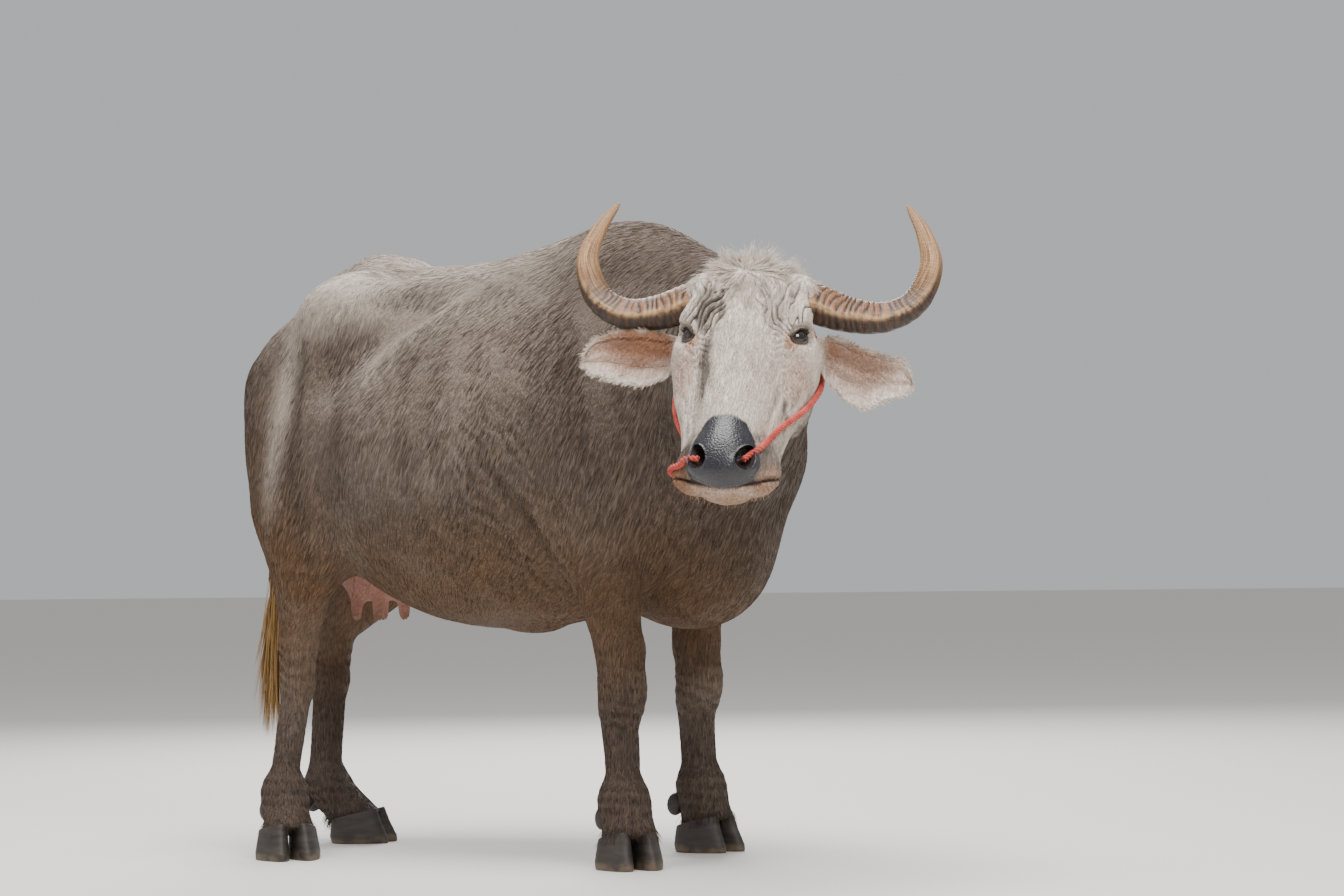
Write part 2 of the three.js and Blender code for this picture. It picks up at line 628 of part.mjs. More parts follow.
// Mouth line, nostrils, eye sockets and the shallow bed of the rope
const LIP_LINE = [
  [374, -80, -116], [408, -88, -106], [440, -80, -93], [463, -48, -80], [474, 0, -72],
  [463, 48, -80], [440, 80, -93], [408, 88, -106], [374, 80, -116],
];
const lipLine = new THREE.CatmullRomCurve3(LIP_LINE.map((p) => settle(flesh, headPoint(...p), 0.5)));
head = head.subtract(solidOf(tube(lipLine, 16, 4, 4.5, 4.5)));
const rope = ropeCurve();
head = head.subtract(solidOf(tube(rope, ROPE_CUTS, ROPE_SIDES, ROPE_R + GAP, ROPE_R + GAP)));
for (const side of [1, -1]) {
  const nostril = placed(HEAD, [452, side * 43, -34], [0, 35, side * 25]);
  head = head.subtract(solidOf(ball([24, 15, 22], nostril, [10, 6])));
  head = head.subtract(solidOf(ball([EYE_R + GAP, EYE_R + GAP, EYE_R + GAP], eyeFrame(side), [10, 7])));
}

// Forelock: rows of wide locks over the poll. The rear ones stand up, the front ones lie down the
// forehead, and the outer ones turn to the horns.
const FORELOCK_ROWS = [
  { along: -46, count: 4, half: 50, lift: 0.9, fall: -0.8, long: 48 },
  { along: -18, count: 6, half: 74, lift: 0.9, fall: -0.15, long: 46 },
  { along: 10, count: 5, half: 76, lift: 0.7, fall: 0.8, long: 58 },
  { along: 44, count: 4, half: 42, lift: 0.5, fall: 1, long: 56 },
];
const draw = dice(7);
for (const { along, count, half, lift, fall, long } of FORELOCK_ROWS)
  for (let i = 0; i < count; i++) {
    const across = mix(-half, half, (i + 0.5) / count) + mix(-5, 5, draw());
    const root = settle(flesh, headPoint(along + mix(-6, 6, draw()), across, 0), 0, 8);
    const lean = across / half / 1.6 + mix(-0.35, 0.35, draw());
    const out = slopeOf(flesh, root).normalize();
    const lie = headAxis(fall, lean, 0);
    const way = lie.clone().addScaledVector(out, lift).normalize();
    const bend = headAxis(fall + 0.35, lean + mix(-0.4, 0.4, draw()), 0.1);
    const size = { long: long * mix(0.85, 1.15, draw()), wide: mix(12, 16, draw()), thick: 4 };
    head = head.add(solidOf(lock(root, way, bend, out, size)));
  }
head = whole(head);

// A horn: out, back and up in a crescent, with rings of growth that fade towards the tip
const HORN_LINE = [
  [20, 62, -52], [24, 115, -64], [32, 180, -84], [24, 243, -96],
  [-8, 298, -86], [-64, 324, -52], [-122, 308, -24], [-176, 273, 0],
];
function horn(side) {
  const curve = curveOf(HORN_LINE.map((p) => mirrored(p, side)), HEAD);
  const count = 28;
  return loft(
    ringsAlong(curve, count, 8, headAxis(0, 0, 1), (t, angle) => {
      const a = -side * angle;
      const taper = Math.sqrt(1 - t) * (1 - 0.25 * t) + 0.03;
      const ring = 1 + 0.05 * (Math.round(t * count) % 2) * (1 - THREE.MathUtils.smoothstep(t, 0.5, 0.8));
      const edge = 1 + 0.22 * bump(Math.cos(a - radians(55)), 1, 0.3);
      const [half, thick] = HORN_HALF;
      return [thick * Math.sin(a) * taper * ring * edge, side * half * Math.cos(a) * taper * ring * edge];
    }),
  );
}

// An ear as a leaf: stations of place and half breadth from root to tip
const EARS = {
  left: {
    side: 1,
    line: [
      [118, 100, -100, 30], [120, 140, -106, 40], [144, 178, -112, 53], [158, 210, -118, 54],
      [150, 250, -124, 41], [150, 280, -126, 31], [160, 302, -126, 10],
    ],
  },
  right: {
    side: -1,
    line: [
      [120, 100, -100, 30], [124, 145, -106, 40], [122, 192, -112, 51], [112, 225, -118, 49],
      [106, 256, -122, 44], [105, 288, -126, 33], [112, 312, -128, 10],
    ],
  },
};

const EAR_CUTS = 12;

// The place and half breadth of an ear, smoothly between its stations from the root
function earAt(line, place) {
  const from = Math.min(Math.floor(place), line.length - 2);
  const t = THREE.MathUtils.smoothstep(place - from, -0.5, 1.5) * 1.4545 - 0.2273;
  return line[from].map((v, n) => mix(v, line[from + 1][n], Math.min(1, Math.max(0, t))));
}

function ear({ side, line }) {
  const front = headAxis(0.5, 0, 0.87);
  const down = headAxis(0.87, 0, -0.5);
  const rings = [];
  for (let i = 0; i <= EAR_CUTS; i++) {
    const t = i / EAR_CUTS;
    const [x, y, z, half] = earAt(line, t * (line.length - 1));
    const cup = mix(26, 8, t);
    rings.push(
      [...Array(10).keys()].map((n) => {
        const a = (-side * n * Math.PI) / 5;
        return headPoint(x, side * y, z)
          .addScaledVector(front, 4 * Math.sin(a) - cup * Math.sin(a) ** 2)
          .addScaledVector(down, half * Math.cos(a));
      }),
    );
  }
  return loft(rings);
}

// The long hairs of an ear: along its lower edge and tip, and over the mouth of the cup
function earLocks({ side, line }, draw) {
  const front = headAxis(0.5, 0, 0.87);
  const down = headAxis(0.87, 0, -0.5);
  const out = headAxis(0.1, side, -0.15);
  const locks = [];
  for (let i = 0; i < 7; i++) {
    const tip = i / 6;
    const [x, y, z, half] = earAt(line, mix(1.4, line.length - 1.15, tip));
    const root = headPoint(x, side * y, z).addScaledVector(down, half - 7).addScaledVector(front, -1);
    const way = down.clone().multiplyScalar(0.9 - tip ** 3).addScaledVector(out, 0.5 + tip ** 2);
    way.normalize();
    const bend = way.clone().addScaledVector(out, mix(0.2, 0.9, draw())).normalize();
    const size = { long: mix(22, 29, draw()), wide: mix(12, 15, draw()), thick: 2.6 };
    locks.push(lock(root, way, bend, front, size));
  }
  for (let i = 0; i < 2; i++) {
    const [x, y, z, half] = earAt(line, mix(1.1, 2.0, i));
    const root = headPoint(x, side * y, z).addScaledVector(down, -half * 0.6).addScaledVector(front, -7);
    const way = headAxis(0.7, side * 0.3, 0.75);
    locks.push(lock(root, way, headAxis(1, side * 0.4, -0.2), front, { long: 40, wide: 10, thick: 2.6 }));
  }
  return locks;
}

// One claw of a hoof, from the sole up past the hair line
const CLAW_RINGS = [[0, 76, -50, 66, 2], [14, 74, -54, 67, 2], [42, 60, -52, 62, 3], [96, 40, -44, 52, 5]];
function claw(frame, k) {
  const rings = CLAW_RINGS.map(([height, front, back, outer, inner]) => {
    const ring = [];
    for (let i = 0; i < 9; i++) {
      const a = (k * i * 2 * Math.PI) / 9;
      const fore = Math.max(0, Math.cos(a));
      const x = Math.cos(a) * (Math.cos(a) > 0 ? front : -back);
      const y = (outer + inner) / 2 + ((outer - inner) / 2) * Math.sin(a) * (1 - 0.2 * fore) - 7 * fore;
      ring.push(new THREE.Vector3(x, k * Math.max(y, inner), height).applyMatrix4(frame));
    }
    return ring;
  });
  return loft(rings);
}

const pieces = [];
const addPiece = (name, solid, paintOf) => pieces.push(meshOf(name, solid, paintOf()));

addPiece("torso", torso, material.hide);
addPiece("neck", neck, material.hide);
addPiece("head", head, material.face);
for (const [name, side] of [["left", 1], ["right", -1]]) {
  const outwards = headAxis(0, side, -0.3);
  addPiece(`horn_${name}`, setOn(solidOf(horn(side)), [head], outwards), material.horn);
  let earSolid = solidOf(ear(EARS[name]));
  for (const one of earLocks(EARS[name], dice(side + 50))) earSolid = earSolid.add(solidOf(one));
  addPiece(`ear_${name}`, setOn(whole(earSolid), [head], outwards), material.ear);
  addPiece(`eye_${name}`, solidOf(ball([EYE_R, EYE_R, EYE_R], eyeFrame(side), [10, 7])), material.eye);
}
addPiece("nose_rope", solidOf(tube(rope, ROPE_CUTS, ROPE_SIDES, ROPE_R, ROPE_R)), material.rope);

for (const [name, leg] of Object.entries(LEGS)) {
  const [x, y] = leg.hoof;
  const hoofFrame = frameAt([x, y, 0], leg.toe, 0, 0);
  const line = new THREE.Vector3(0, 0, CORONET).applyMatrix4(hoofFrame);
  const slant = new THREE.Vector3(-0.25, 0, 1).transformDirection(hoofFrame);
  const grid = [
    ruler(x - 230, [27, x + 190]),
    ruler(y - 150, [25, y + 150]),
    ruler(20, [25, 180], [46, 300], [32, 440], [50, 720]),
  ];
  const skin = solidOf(skinOf(flesh, ...grid));
  const limbSolid = whole(skin.intersect(legRoom(leg)).intersect(beyond(line, slant, GAP)));
  addPiece(`leg_${name}`, limbSolid, material.hide);
  for (const [part, k] of [["outer", leg.side], ["inner", -leg.side]]) {
    const clawSolid = whole(solidOf(claw(hoofFrame, k)).subtract(beyond(line, slant)));
    addPiece(`claw_${name}_${part}`, clawSolid, material.claw);
    const heelFrame = frameAt([leg.fetlock[0], leg.fetlock[1], leg.fetlock[2] - 34], leg.toe, 0, 0);
    const dewFrame = placed(heelFrame, [-46, k * 29, 0], [0, 20, 0]);
    const back = new THREE.Vector3(-1, k * 0.3, 0).transformDirection(hoofFrame);
    const dew = setOn(solidOf(ball([20, 15, 24], dewFrame, [6, 4])), [limbSolid], back);
    addPiece(`dewclaw_${name}_${part}`, dew, material.dewclaw);
  }
}

// Tail: a tapering dock, then a switch of long locks round its end
const TAIL_LINE = [
  [-860, 0, 1072], [-930, 0, 1070], [-978, 0, 1030], [-1000, 0, 950], [-1018, 2, 760],
  [-1028, 0, 580], [-1032, -2, 480], [-1034, -4, 400],
];
const SWITCH_TIP = new THREE.Vector3(-1040, -10, 228);
const tailCurve = new THREE.CatmullRomCurve3(TAIL_LINE.map(vec));
let tail = solidOf(tube(tailCurve, 18, 8, 30, 9, new THREE.Vector3(-1, 0, 0.1)));
const toss = dice(31);
for (let i = 0; i < 11; i++) {
  const turn = (i * 2.4 + mix(-0.3, 0.3, toss())) % (2 * Math.PI);
  const out = new THREE.Vector3(Math.cos(turn), Math.sin(turn), 0);
  const root = tailCurve.getPointAt(mix(0.74, 0.97, i / 10)).addScaledVector(out, 5);
  const end = SWITCH_TIP.clone().addScaledVector(out, mix(6, 22, toss()));
  end.z += mix(0, 90, toss()) + (10 - i) * 8;
  const long = root.distanceTo(end);
  const bend = end.sub(root).normalize();
  const way = bend.clone().addScaledVector(out, 0.22).normalize();
  const size = { long, wide: mix(12, 16, toss()), thick: 4, under: 6 };
  tail = tail.add(solidOf(lock(root, way, bend, out, size)));
}
addPiece("tail", setOn(whole(tail), [torso], new THREE.Vector3(-1, 0, 0.3)), material.tail);

// Udder with four teats
const udderFlesh = [
  mass([-745, -8, 590], [92, 88, 72]),
  ...both((side) =>
    [-716, -772].map((x) => limb([x, side * 40 - 8, 560], [x, side * 46 - 8, 492], 20, 12, { blend: 20 })),
  ),
];
const udderGrid = [ruler(-860, [26, -630]), ruler(-126, [24, 110]), ruler(470, [22, 680])];
const legSolids = pieces.filter((piece) => piece.name.startsWith("leg_hind"));
const udder = solidOf(skinOf(fieldOf(udderFlesh), ...udderGrid));
const thighs = legSolids.map((piece) => solidOf(piece.geometry));
addPiece("udder", setOn(udder, [torso, ...thighs], new THREE.Vector3(0, 0, -1)), material.udder);

const group = new THREE.Group();
group.name = "water_buffalo";
group.add(...pieces);

// The middle of the footprint of the whole goes to the origin
const box = new THREE.Box3().setFromObject(group);
const middle = box.getCenter(new THREE.Vector3());
group.position.set(-middle.x, -middle.y, 0);
group.updateMatrixWorld(true);

export default group;
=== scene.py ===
"""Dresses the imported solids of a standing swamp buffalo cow, seen from its right front quarter.

The flesh is worked out in millimetres in the animal's own frame, where X runs towards the chest,
Y to its left and Z up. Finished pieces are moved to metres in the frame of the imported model.
"""

import logging
import math
from dataclasses import dataclass, field
from enum import IntEnum
from typing import Callable, Sequence

import bpy
import numpy as np
from mathutils import Matrix, Vector


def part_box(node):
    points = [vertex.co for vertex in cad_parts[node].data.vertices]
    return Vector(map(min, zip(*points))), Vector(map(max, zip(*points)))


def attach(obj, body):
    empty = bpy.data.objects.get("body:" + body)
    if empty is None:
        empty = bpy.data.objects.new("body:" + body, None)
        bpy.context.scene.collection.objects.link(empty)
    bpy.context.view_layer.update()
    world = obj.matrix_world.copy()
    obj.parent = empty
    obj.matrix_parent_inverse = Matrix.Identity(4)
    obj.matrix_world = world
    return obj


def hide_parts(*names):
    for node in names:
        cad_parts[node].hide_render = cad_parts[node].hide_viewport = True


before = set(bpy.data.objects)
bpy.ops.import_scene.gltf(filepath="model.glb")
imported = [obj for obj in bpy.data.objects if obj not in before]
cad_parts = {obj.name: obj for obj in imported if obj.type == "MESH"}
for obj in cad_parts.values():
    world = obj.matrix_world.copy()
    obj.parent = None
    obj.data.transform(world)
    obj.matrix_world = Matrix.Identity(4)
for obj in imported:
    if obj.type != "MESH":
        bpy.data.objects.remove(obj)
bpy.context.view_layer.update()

LOG = logging.getLogger("buffalo")
Points = np.ndarray
Faces = np.ndarray
Triple = tuple[float, float, float]
EYE_AT: Triple = (129.0, 93.0, -50.0)
EYE_R = 21.0
COAT_DEPTH = 1.5
SIDES = (("left", 1), ("right", -1))


# Numbers and vectors


def unit(vectors: Points) -> Points:
    """Returns the vectors with a length of one."""
    vectors = np.asarray(vectors, float)
    return vectors / np.maximum(np.linalg.norm(vectors, axis=-1, keepdims=True), 1e-9)


def span(vectors: Points) -> Points:
    """Returns the length of each vector."""
    return np.linalg.norm(vectors, axis=-1)


def step(value: Points, low: float, high: float) -> Points:
    """Rises smoothly from 0 to 1.

    Args:
        value: Where it is read.
        low: The value at which it leaves 0. It may be above the other one, for a fall.
        high: The value at which it reaches 1.

    Returns:
        The share, from 0 to 1.
    """
    t = np.clip((value - low) / (high - low), 0.0, 1.0)
    return t * t * (3.0 - 2.0 * t)


def hill(value: Points, centre: float, width: float) -> Points:
    """Returns a bell of height 1 round a centre."""
    return np.exp(-(((value - centre) / width) ** 2))


def lattice(cells: Points, seed: int) -> Points:
    """Returns a random number from -1 to 1 for each whole-numbered point."""
    x, y, z = (cells[..., n].astype(np.int64) for n in range(3))
    mixed = (x * 374761393 + y * 668265263 + z * 2147483647 + seed * 974634777) & 0xFFFFFFFF
    mixed = ((mixed ^ (mixed >> 13)) * 1274126177) & 0xFFFFFFFF
    return ((mixed ^ (mixed >> 16)) & 0xFFFF) / 32767.5 - 1.0


def noise(points: Points, size: float | Triple, seed: int = 0, octaves: int = 1) -> Points:
    """Smooth random heights from -1 to 1.

    Args:
        points: Where they are read.
        size: How far apart the bumps lie, the same each way or along each axis.
        seed: Picks the pattern.
        octaves: How many layers, each half as large as the last.

    Returns:
        One height a point.
    """
    total = np.zeros(len(points))
    strength = 1.0
    at = points / np.asarray(size, float)
    for layer in range(octaves):
        base = np.floor(at)
        part = at - base
        part = part * part * (3.0 - 2.0 * part)
        for corner in range(8):
            bits = np.array([corner & 1, corner >> 1 & 1, corner >> 2 & 1])
            share = np.prod(np.where(bits, part, 1.0 - part), axis=1)
            total += strength * share * lattice(base + bits, seed + 17 * layer)
        at = at * 2.03 + 11.7
        strength *= 0.5
    return total


@dataclass(frozen=True)
class Pose:
    """A frame of its own: its axes as the columns of a turn, and its origin."""

    turn: np.ndarray
    origin: np.ndarray

    @classmethod
    def at(cls, origin: Triple, yaw: float = 0, pitch: float = 0, roll: float = 0) -> "Pose":
        """Returns the frame at an origin, turned by degrees about Z, then Y, then X."""
        turn = Matrix.Rotation(math.radians(yaw), 3, "Z") @ Matrix.Rotation(math.radians(pitch), 3, "Y")
        turn = turn @ Matrix.Rotation(math.radians(roll), 3, "X")
        return cls(np.array(turn), np.array(origin, float))

    def out(self, points: Points) -> Points:
        """Returns points of this frame in the animal's frame."""
        return np.asarray(points, float) @ self.turn.T + self.origin

    def into(self, points: Points) -> Points:
        """Returns points of the animal's frame in this one."""
        return (np.asarray(points, float) - self.origin) @ self.turn

    def way(self, *axis: float) -> np.ndarray:
        """Returns a direction of this frame in the animal's frame."""
        return unit(self.turn @ np.array(axis, float))


BODY = Pose.at((0, 0, 0))
HEAD = Pose.at((427, -417, 1132), -70.5, 48, -3.5)
NAPE = HEAD.out([-95, 0, -85])
NAPE_WAY = HEAD.way(0.6435, 0, 0.765)
HEAD_MIDDLE = HEAD.out([180, 0, -90])


def head_share(points: Points, low: float = -40, high: float = 60) -> Points:
    """Returns how far points belong to the head: 0 behind the nape and far from the face."""
    near = step(span(points - HEAD_MIDDLE), 430, 370)
    return near * step((points - NAPE) @ NAPE_WAY, low, high)


def shifted() -> np.ndarray:
    """Returns what moves the animal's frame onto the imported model's, from the places of the eyes."""
    gaps = []
    for name, side in SIDES:
        low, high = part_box(f"eye_{name}")
        middle = (np.array(low) + np.array(high)) / 2
        gaps.append(middle - HEAD.out([EYE_AT[0], side * EYE_AT[1], EYE_AT[2]]) / 1000)
    return np.mean(gaps, axis=0)


SHIFT = shifted()


def placed(points: Points) -> Points:
    """Returns millimetres of the animal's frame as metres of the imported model's."""
    return np.asarray(points, float) / 1000 + SHIFT


# Flesh as a field of blended masses


@dataclass
class Mass:
    """An ellipsoid of flesh, turned by degrees about X, Y and Z. A hollow one is taken away."""

    at: Triple
    size: Triple
    turn: Triple = (0, 0, 0)
    blend: float = 40
    pose: Pose = BODY
    hollow: bool = False

    def __post_init__(self) -> None:
        """Works out its centre, its reach and its own axes."""
        own = Pose.at((0, 0, 0), self.turn[2], self.turn[1], self.turn[0]).turn
        self.axes = self.pose.turn @ own
        self.centre = self.pose.out(self.at)
        self.reach = max(self.size)

    def distance(self, points: Points) -> Points:
        """Returns the signed distance to its surface, about right near it."""
        local = (points - self.centre) @ self.axes
        size = np.array(self.size, float)
        near = span(local / size)
        slope = span(local / size**2)
        return near * (near - 1) / np.maximum(slope, 1e-9)


@dataclass
class Limb:
    """A tapered limb of flesh between two points, flattened across a direction."""

    start: Triple
    end: Triple
    r_start: float
    r_end: float
    blend: float = 40
    pose: Pose = BODY
    flat: float = 1
    hollow: bool = False

    def __post_init__(self) -> None:
        """Works out its ends, its centre and its reach."""
        self.first = self.pose.out(self.start)
        last = self.pose.out(self.end)
        self.side = self.pose.way(0, 1, 0)
        self.stretch = 1 / self.flat - 1
        self.centre = (self.first + last) / 2
        self.reach = np.linalg.norm(last - self.first) / 2 + max(self.r_start, self.r_end)
        run = last - self.first
        self.run = run + self.side * (run @ self.side) * self.stretch

    def distance(self, points: Points) -> Points:
        """Returns the signed distance to its surface."""
        local = points - self.first
        if self.flat != 1:
            local = local + (local @ self.side)[..., None] * self.side * self.stretch
        t = np.clip(local @ self.run / (self.run @ self.run), 0, 1)
        radius = self.r_start + (self.r_end - self.r_start) * t
        return (span(local - t[..., None] * self.run) - radius) * min(1, self.flat)


Form = Mass | Limb
CORNERS = np.array([[1, -1, -1], [-1, -1, 1], [-1, 1, -1], [1, 1, 1]], float)


@dataclass
class Flesh:
    """Many forms that blend into each other. Its height is below zero inside."""

    forms: list[Form]
    outermost: float = 60

    @staticmethod
    def joined(height: Points, own: Points, form: Form) -> Points:
        """Returns the height with one more form blended in or taken away."""
        own = -own if form.hollow else own
        share = np.maximum(form.blend - np.abs(height - own), 0) / form.blend
        round_off = share * share * form.blend * 0.25
        if form.hollow:
            return np.maximum(height, own) + round_off
        return np.minimum(height, own) - round_off

    def height(self, points: Points) -> Points:
        """Returns the height over the skin at each point."""
        height = np.full(len(points), 1e4)
        low, high = points.min(axis=0), points.max(axis=0)
        for form in self.forms:
            reach = form.reach + form.blend + self.outermost
            if np.any(form.centre + reach < low) or np.any(form.centre - reach > high):
                continue
            near = np.flatnonzero(((points - form.centre) ** 2).sum(axis=1) < reach**2)
            if len(near):
                height[near] = self.joined(height[near], form.distance(points[near]), form)
        return height

    def grid(self, low: Points, counts: Sequence[int], pitch: float) -> Points:
        """Returns the heights on a regular grid.

        Args:
            low: Its lowest corner.
            counts: How many points it has each way.
            pitch: How far apart they are.

        Returns:
            The heights, indexed along X, Y and Z.
        """
        heights = np.full(tuple(counts), 1e4)
        lines = [low[n] + pitch * np.arange(counts[n]) for n in range(3)]
        for form in self.forms:
            reach = form.reach + form.blend + self.outermost
            cut = tuple(
                slice(
                    int(np.searchsorted(lines[n], form.centre[n] - reach)),
                    int(np.searchsorted(lines[n], form.centre[n] + reach)),
                )
                for n in range(3)
            )
            block = np.stack(np.meshgrid(*(lines[n][cut[n]] for n in range(3)), indexing="ij"), -1)
            if block.size:
                heights[cut] = self.joined(heights[cut], form.distance(block), form)
        return heights

    def slope(self, points: Points, reach: float = 2.0) -> Points:
        """Returns the outward slope of the height at each point."""
        total = np.zeros_like(points)
        for corner in CORNERS:
            total += corner * self.height(points + corner * reach)[:, None]
        return total / (4 * reach)

    def settle(self, points: Points, height: float | Points = 0.0, rounds: int = 3) -> Points:
        """Moves points along the slope until they are at a height over the skin."""
        points = np.array(points, float)
        for _ in range(rounds):
            slope = self.slope(points)
            gap = (height - self.height(points)) / np.maximum((slope**2).sum(axis=1), 0.2)
            points += slope * gap[:, None]
        return points


# Sizes of the animal, as the solids have them

WITHERS, BACK, CROUP, BELLY, BARREL_HALF, CHEST_X = 1282, 1217, 1250, 462, 380, 205
HIP: Triple = (-662, 226, 1142)
PIN: Triple = (-948, 100, 985)


@dataclass(frozen=True)
class Leg:
    """One leg, posed by the places of its joints."""

    side: int
    fore: bool
    toe: float
    hoof: tuple[float, float]
    fetlock: Triple
    middle: Triple
    top: Triple

    def toe_way(self) -> tuple[float, float]:
        """Returns where the toes point, on the ground."""
        return math.cos(math.radians(self.toe)), math.sin(math.radians(self.toe))

    def pastern_foot(self) -> Triple:
        """Returns where the pastern enters the hoof."""
        reach = math.hypot(self.hoof[0] - self.fetlock[0], self.hoof[1] - self.fetlock[1])
        return (*self.hoof, 70 - 0.42 * reach)

    def forms(self) -> list[Form]:
        """Returns the flesh of the leg."""
        return self.fore_forms() if self.fore else self.hind_forms()

    def fore_forms(self) -> list[Form]:
        """Returns elbow, forearm, knee, cannon and pastern."""
        knee, elbow, foot, s = self.middle, self.top, self.fetlock, self.side
        tx, ty = self.toe_way()
        return [
            Mass(moved(elbow, 20, -s * 5, 110), (98, 70, 150), (0, 12, 0), 60),
            Mass(moved(elbow, -38, -s * 5, 40), (52, 44, 62), blend=50),
            Limb(moved(elbow, 14, 0, 0), moved(knee, -4, 0, 78), 80, 46, 40, flat=0.88),
            Limb(moved(knee, 0, 0, 78), moved(knee, 0, 0, -25), 46, 42, 22),
            Mass(moved(knee, 8 * tx, 8 * ty, 6), (45, 45, 60), blend=22),
            Limb(moved(knee, -3, 0, -30), moved(foot, 0, 0, 44), 35, 34, 22),
            Limb(moved(knee, -26, 0, -50), moved(foot, -22 * tx, -22 * ty, 20), 17, 20, 22),
            Mass(foot, (49, 49, 44), blend=28),
            Limb(foot, self.pastern_foot(), 45, 55, 24),
        ]

    def hind_forms(self) -> list[Form]:
        """Returns gaskin, hock, cannon and pastern."""
        hock, stifle, foot, s = self.middle, self.top, self.fetlock, self.side
        tx, ty = self.toe_way()

        def heel(reach: float, up: float) -> Triple:
            """Returns a point behind the hock."""
            return moved(hock, -reach * tx, -reach * ty, up)

        return [
            Mass(moved(stifle, -6, -s * 6, 40), (98, 66, 120), blend=70),
            Limb(moved(stifle, -26, -s * 6, -40), moved(hock, 10, 0, 60), 82, 42, 46, flat=0.76),
            Limb(moved(stifle, -96, -s * 20, 60), heel(42, 44), 54, 15, 46, flat=0.7),
            Limb(heel(-8, 30), heel(-6, -45), 42, 35, 20),
            Limb(heel(40, 26), heel(24, -60), 19, 17, 20),
            Limb(heel(-4, -50), moved(foot, 0, 0, 42), 33, 31, 20, flat=0.88),
            Limb(heel(20, -70), moved(foot, -24 * tx, -24 * ty, 20), 17, 19, 20),
            Mass(foot, (47, 46, 43), blend=28),
            Limb(foot, self.pastern_foot(), 42, 53, 24),
        ]


def moved(point: Triple, dx: float, dy: float, dz: float) -> Triple:
    """Returns a point moved by three lengths."""
    return (point[0] + dx, point[1] + dy, point[2] + dz)


LEGS = {
    "front_right": Leg(-1, True, -38, (0, -205), (-14, -200, 130), (-18, -196, 345), (-66, -205, 610)),
    "front_left": Leg(1, True, -12, (-88, 222), (-100, 220, 130), (-96, 206, 345), (-100, 205, 610)),
    "hind_right": Leg(-1, False, -40, (-792, -268), (-818, -244, 130), (-826, -188, 400), (-745, -225, 655)),
    "hind_left": Leg(1, False, 16, (-928, 150), (-998, 132, 120), (-994, 140, 395), (-830, 205, 640)),
}


def trunk_forms() -> list[Form]:
    """Returns barrel, back, hump, chest, pelvis and thighs."""
    forms: list[Form] = [
        Mass((-220, 0, 850), (470, 305, 340)),
        Mass((-405, 0, BELLY + 342), (445, BARREL_HALF, 342), blend=80),
        Limb((-720, 0, CROUP - 122), (-300, 0, BACK - 90), 90, 86, 80),
        Limb((-300, 0, BACK - 90), (-20, 0, BACK - 100), 86, 90, 80),
        Mass((-115, 0, WITHERS - 180), (200, 84, 180), blend=80),
        Mass((24, 0, 770), (CHEST_X - 34, 198, 270), blend=90),
        Mass((36, 0, 596), (142, 112, 126), blend=90),
        Limb((-735, 0, CROUP - 80), (-825, 0, CROUP - 116), 76, 68, 60),
        Limb((-825, 0, CROUP - 120), (-915, 0, CROUP - 200), 64, 42, 60),
        Mass((-775, 0, 960), (176, 190, 165), blend=80),
        Mass((-352, 0, BELLY + 14), (60, 26, 22), blend=24),
    ]
    for _, s in SIDES:
        hip = (HIP[0], s * HIP[1], HIP[2])
        pin = (PIN[0], s * PIN[1], PIN[2])
        forms += [
            Limb(moved(hip, 0, -s * 6, -6), moved(hip, -70, -s * 30, -26), 34, 44, 60),
            Limb(moved(hip, -8, -s * 34, -14), (-690, s * 66, CROUP - 82), 42, 58, 60),
            Limb(moved(hip, -40, -s * 40, -50), moved(pin, 30, 0, 10), 52, 46, 80),
            Limb(moved(hip, -22, -s * 26, -60), (-735, s * 205, 800), 46, 76, 80),
            Mass(pin, (40, 40, 46), blend=60),
            Mass((-806, s * 166, 850), (146, 92, 235), (0, -6, 0), 80),
            Limb((-900, s * 112, 940), (-868, s * 168, 700), 58, 46, 70),
            Limb((-110, s * 88, 1165), (40, s * 182, 900), 58, 84, 80, flat=0.75),
            Mass((88, s * 158, 810), (88, 76, 105), blend=60),
            Mass((-70, s * 205, 800), (110, 80, 130), blend=60),
            Limb((-640, s * 150, CROUP - 130), (-330, s * 110, BACK - 92), 58, 50, 80),
            Mass((-570, s * 398, 1040), (120, 116, 90), blend=110, hollow=True),
        ]
    return forms


def chain(stations: Sequence[tuple[Triple, float]], blend: float) -> list[Form]:
    """Returns limbs from station to station, each given with its radius."""
    pairs = zip(stations, stations[1:])
    return [Limb(a, b, r, q, blend) for (a, r), (b, q) in pairs]


NECK_CHAINS = (
    (60, (((-40, 0, 1130), 98), ((110, -35, 1100), 84), ((250, -160, 1080), 74), ((360, -325, 1085), 64))),
    (80, (((30, 0, 970), 190), ((150, -60, 960), 148), ((270, -195, 975), 112), ((370, -330, 990), 92))),
    (80, (((50, -5, 830), 165), ((150, -80, 850), 116), ((245, -205, 890), 86), ((350, -330, 925), 72))),
)


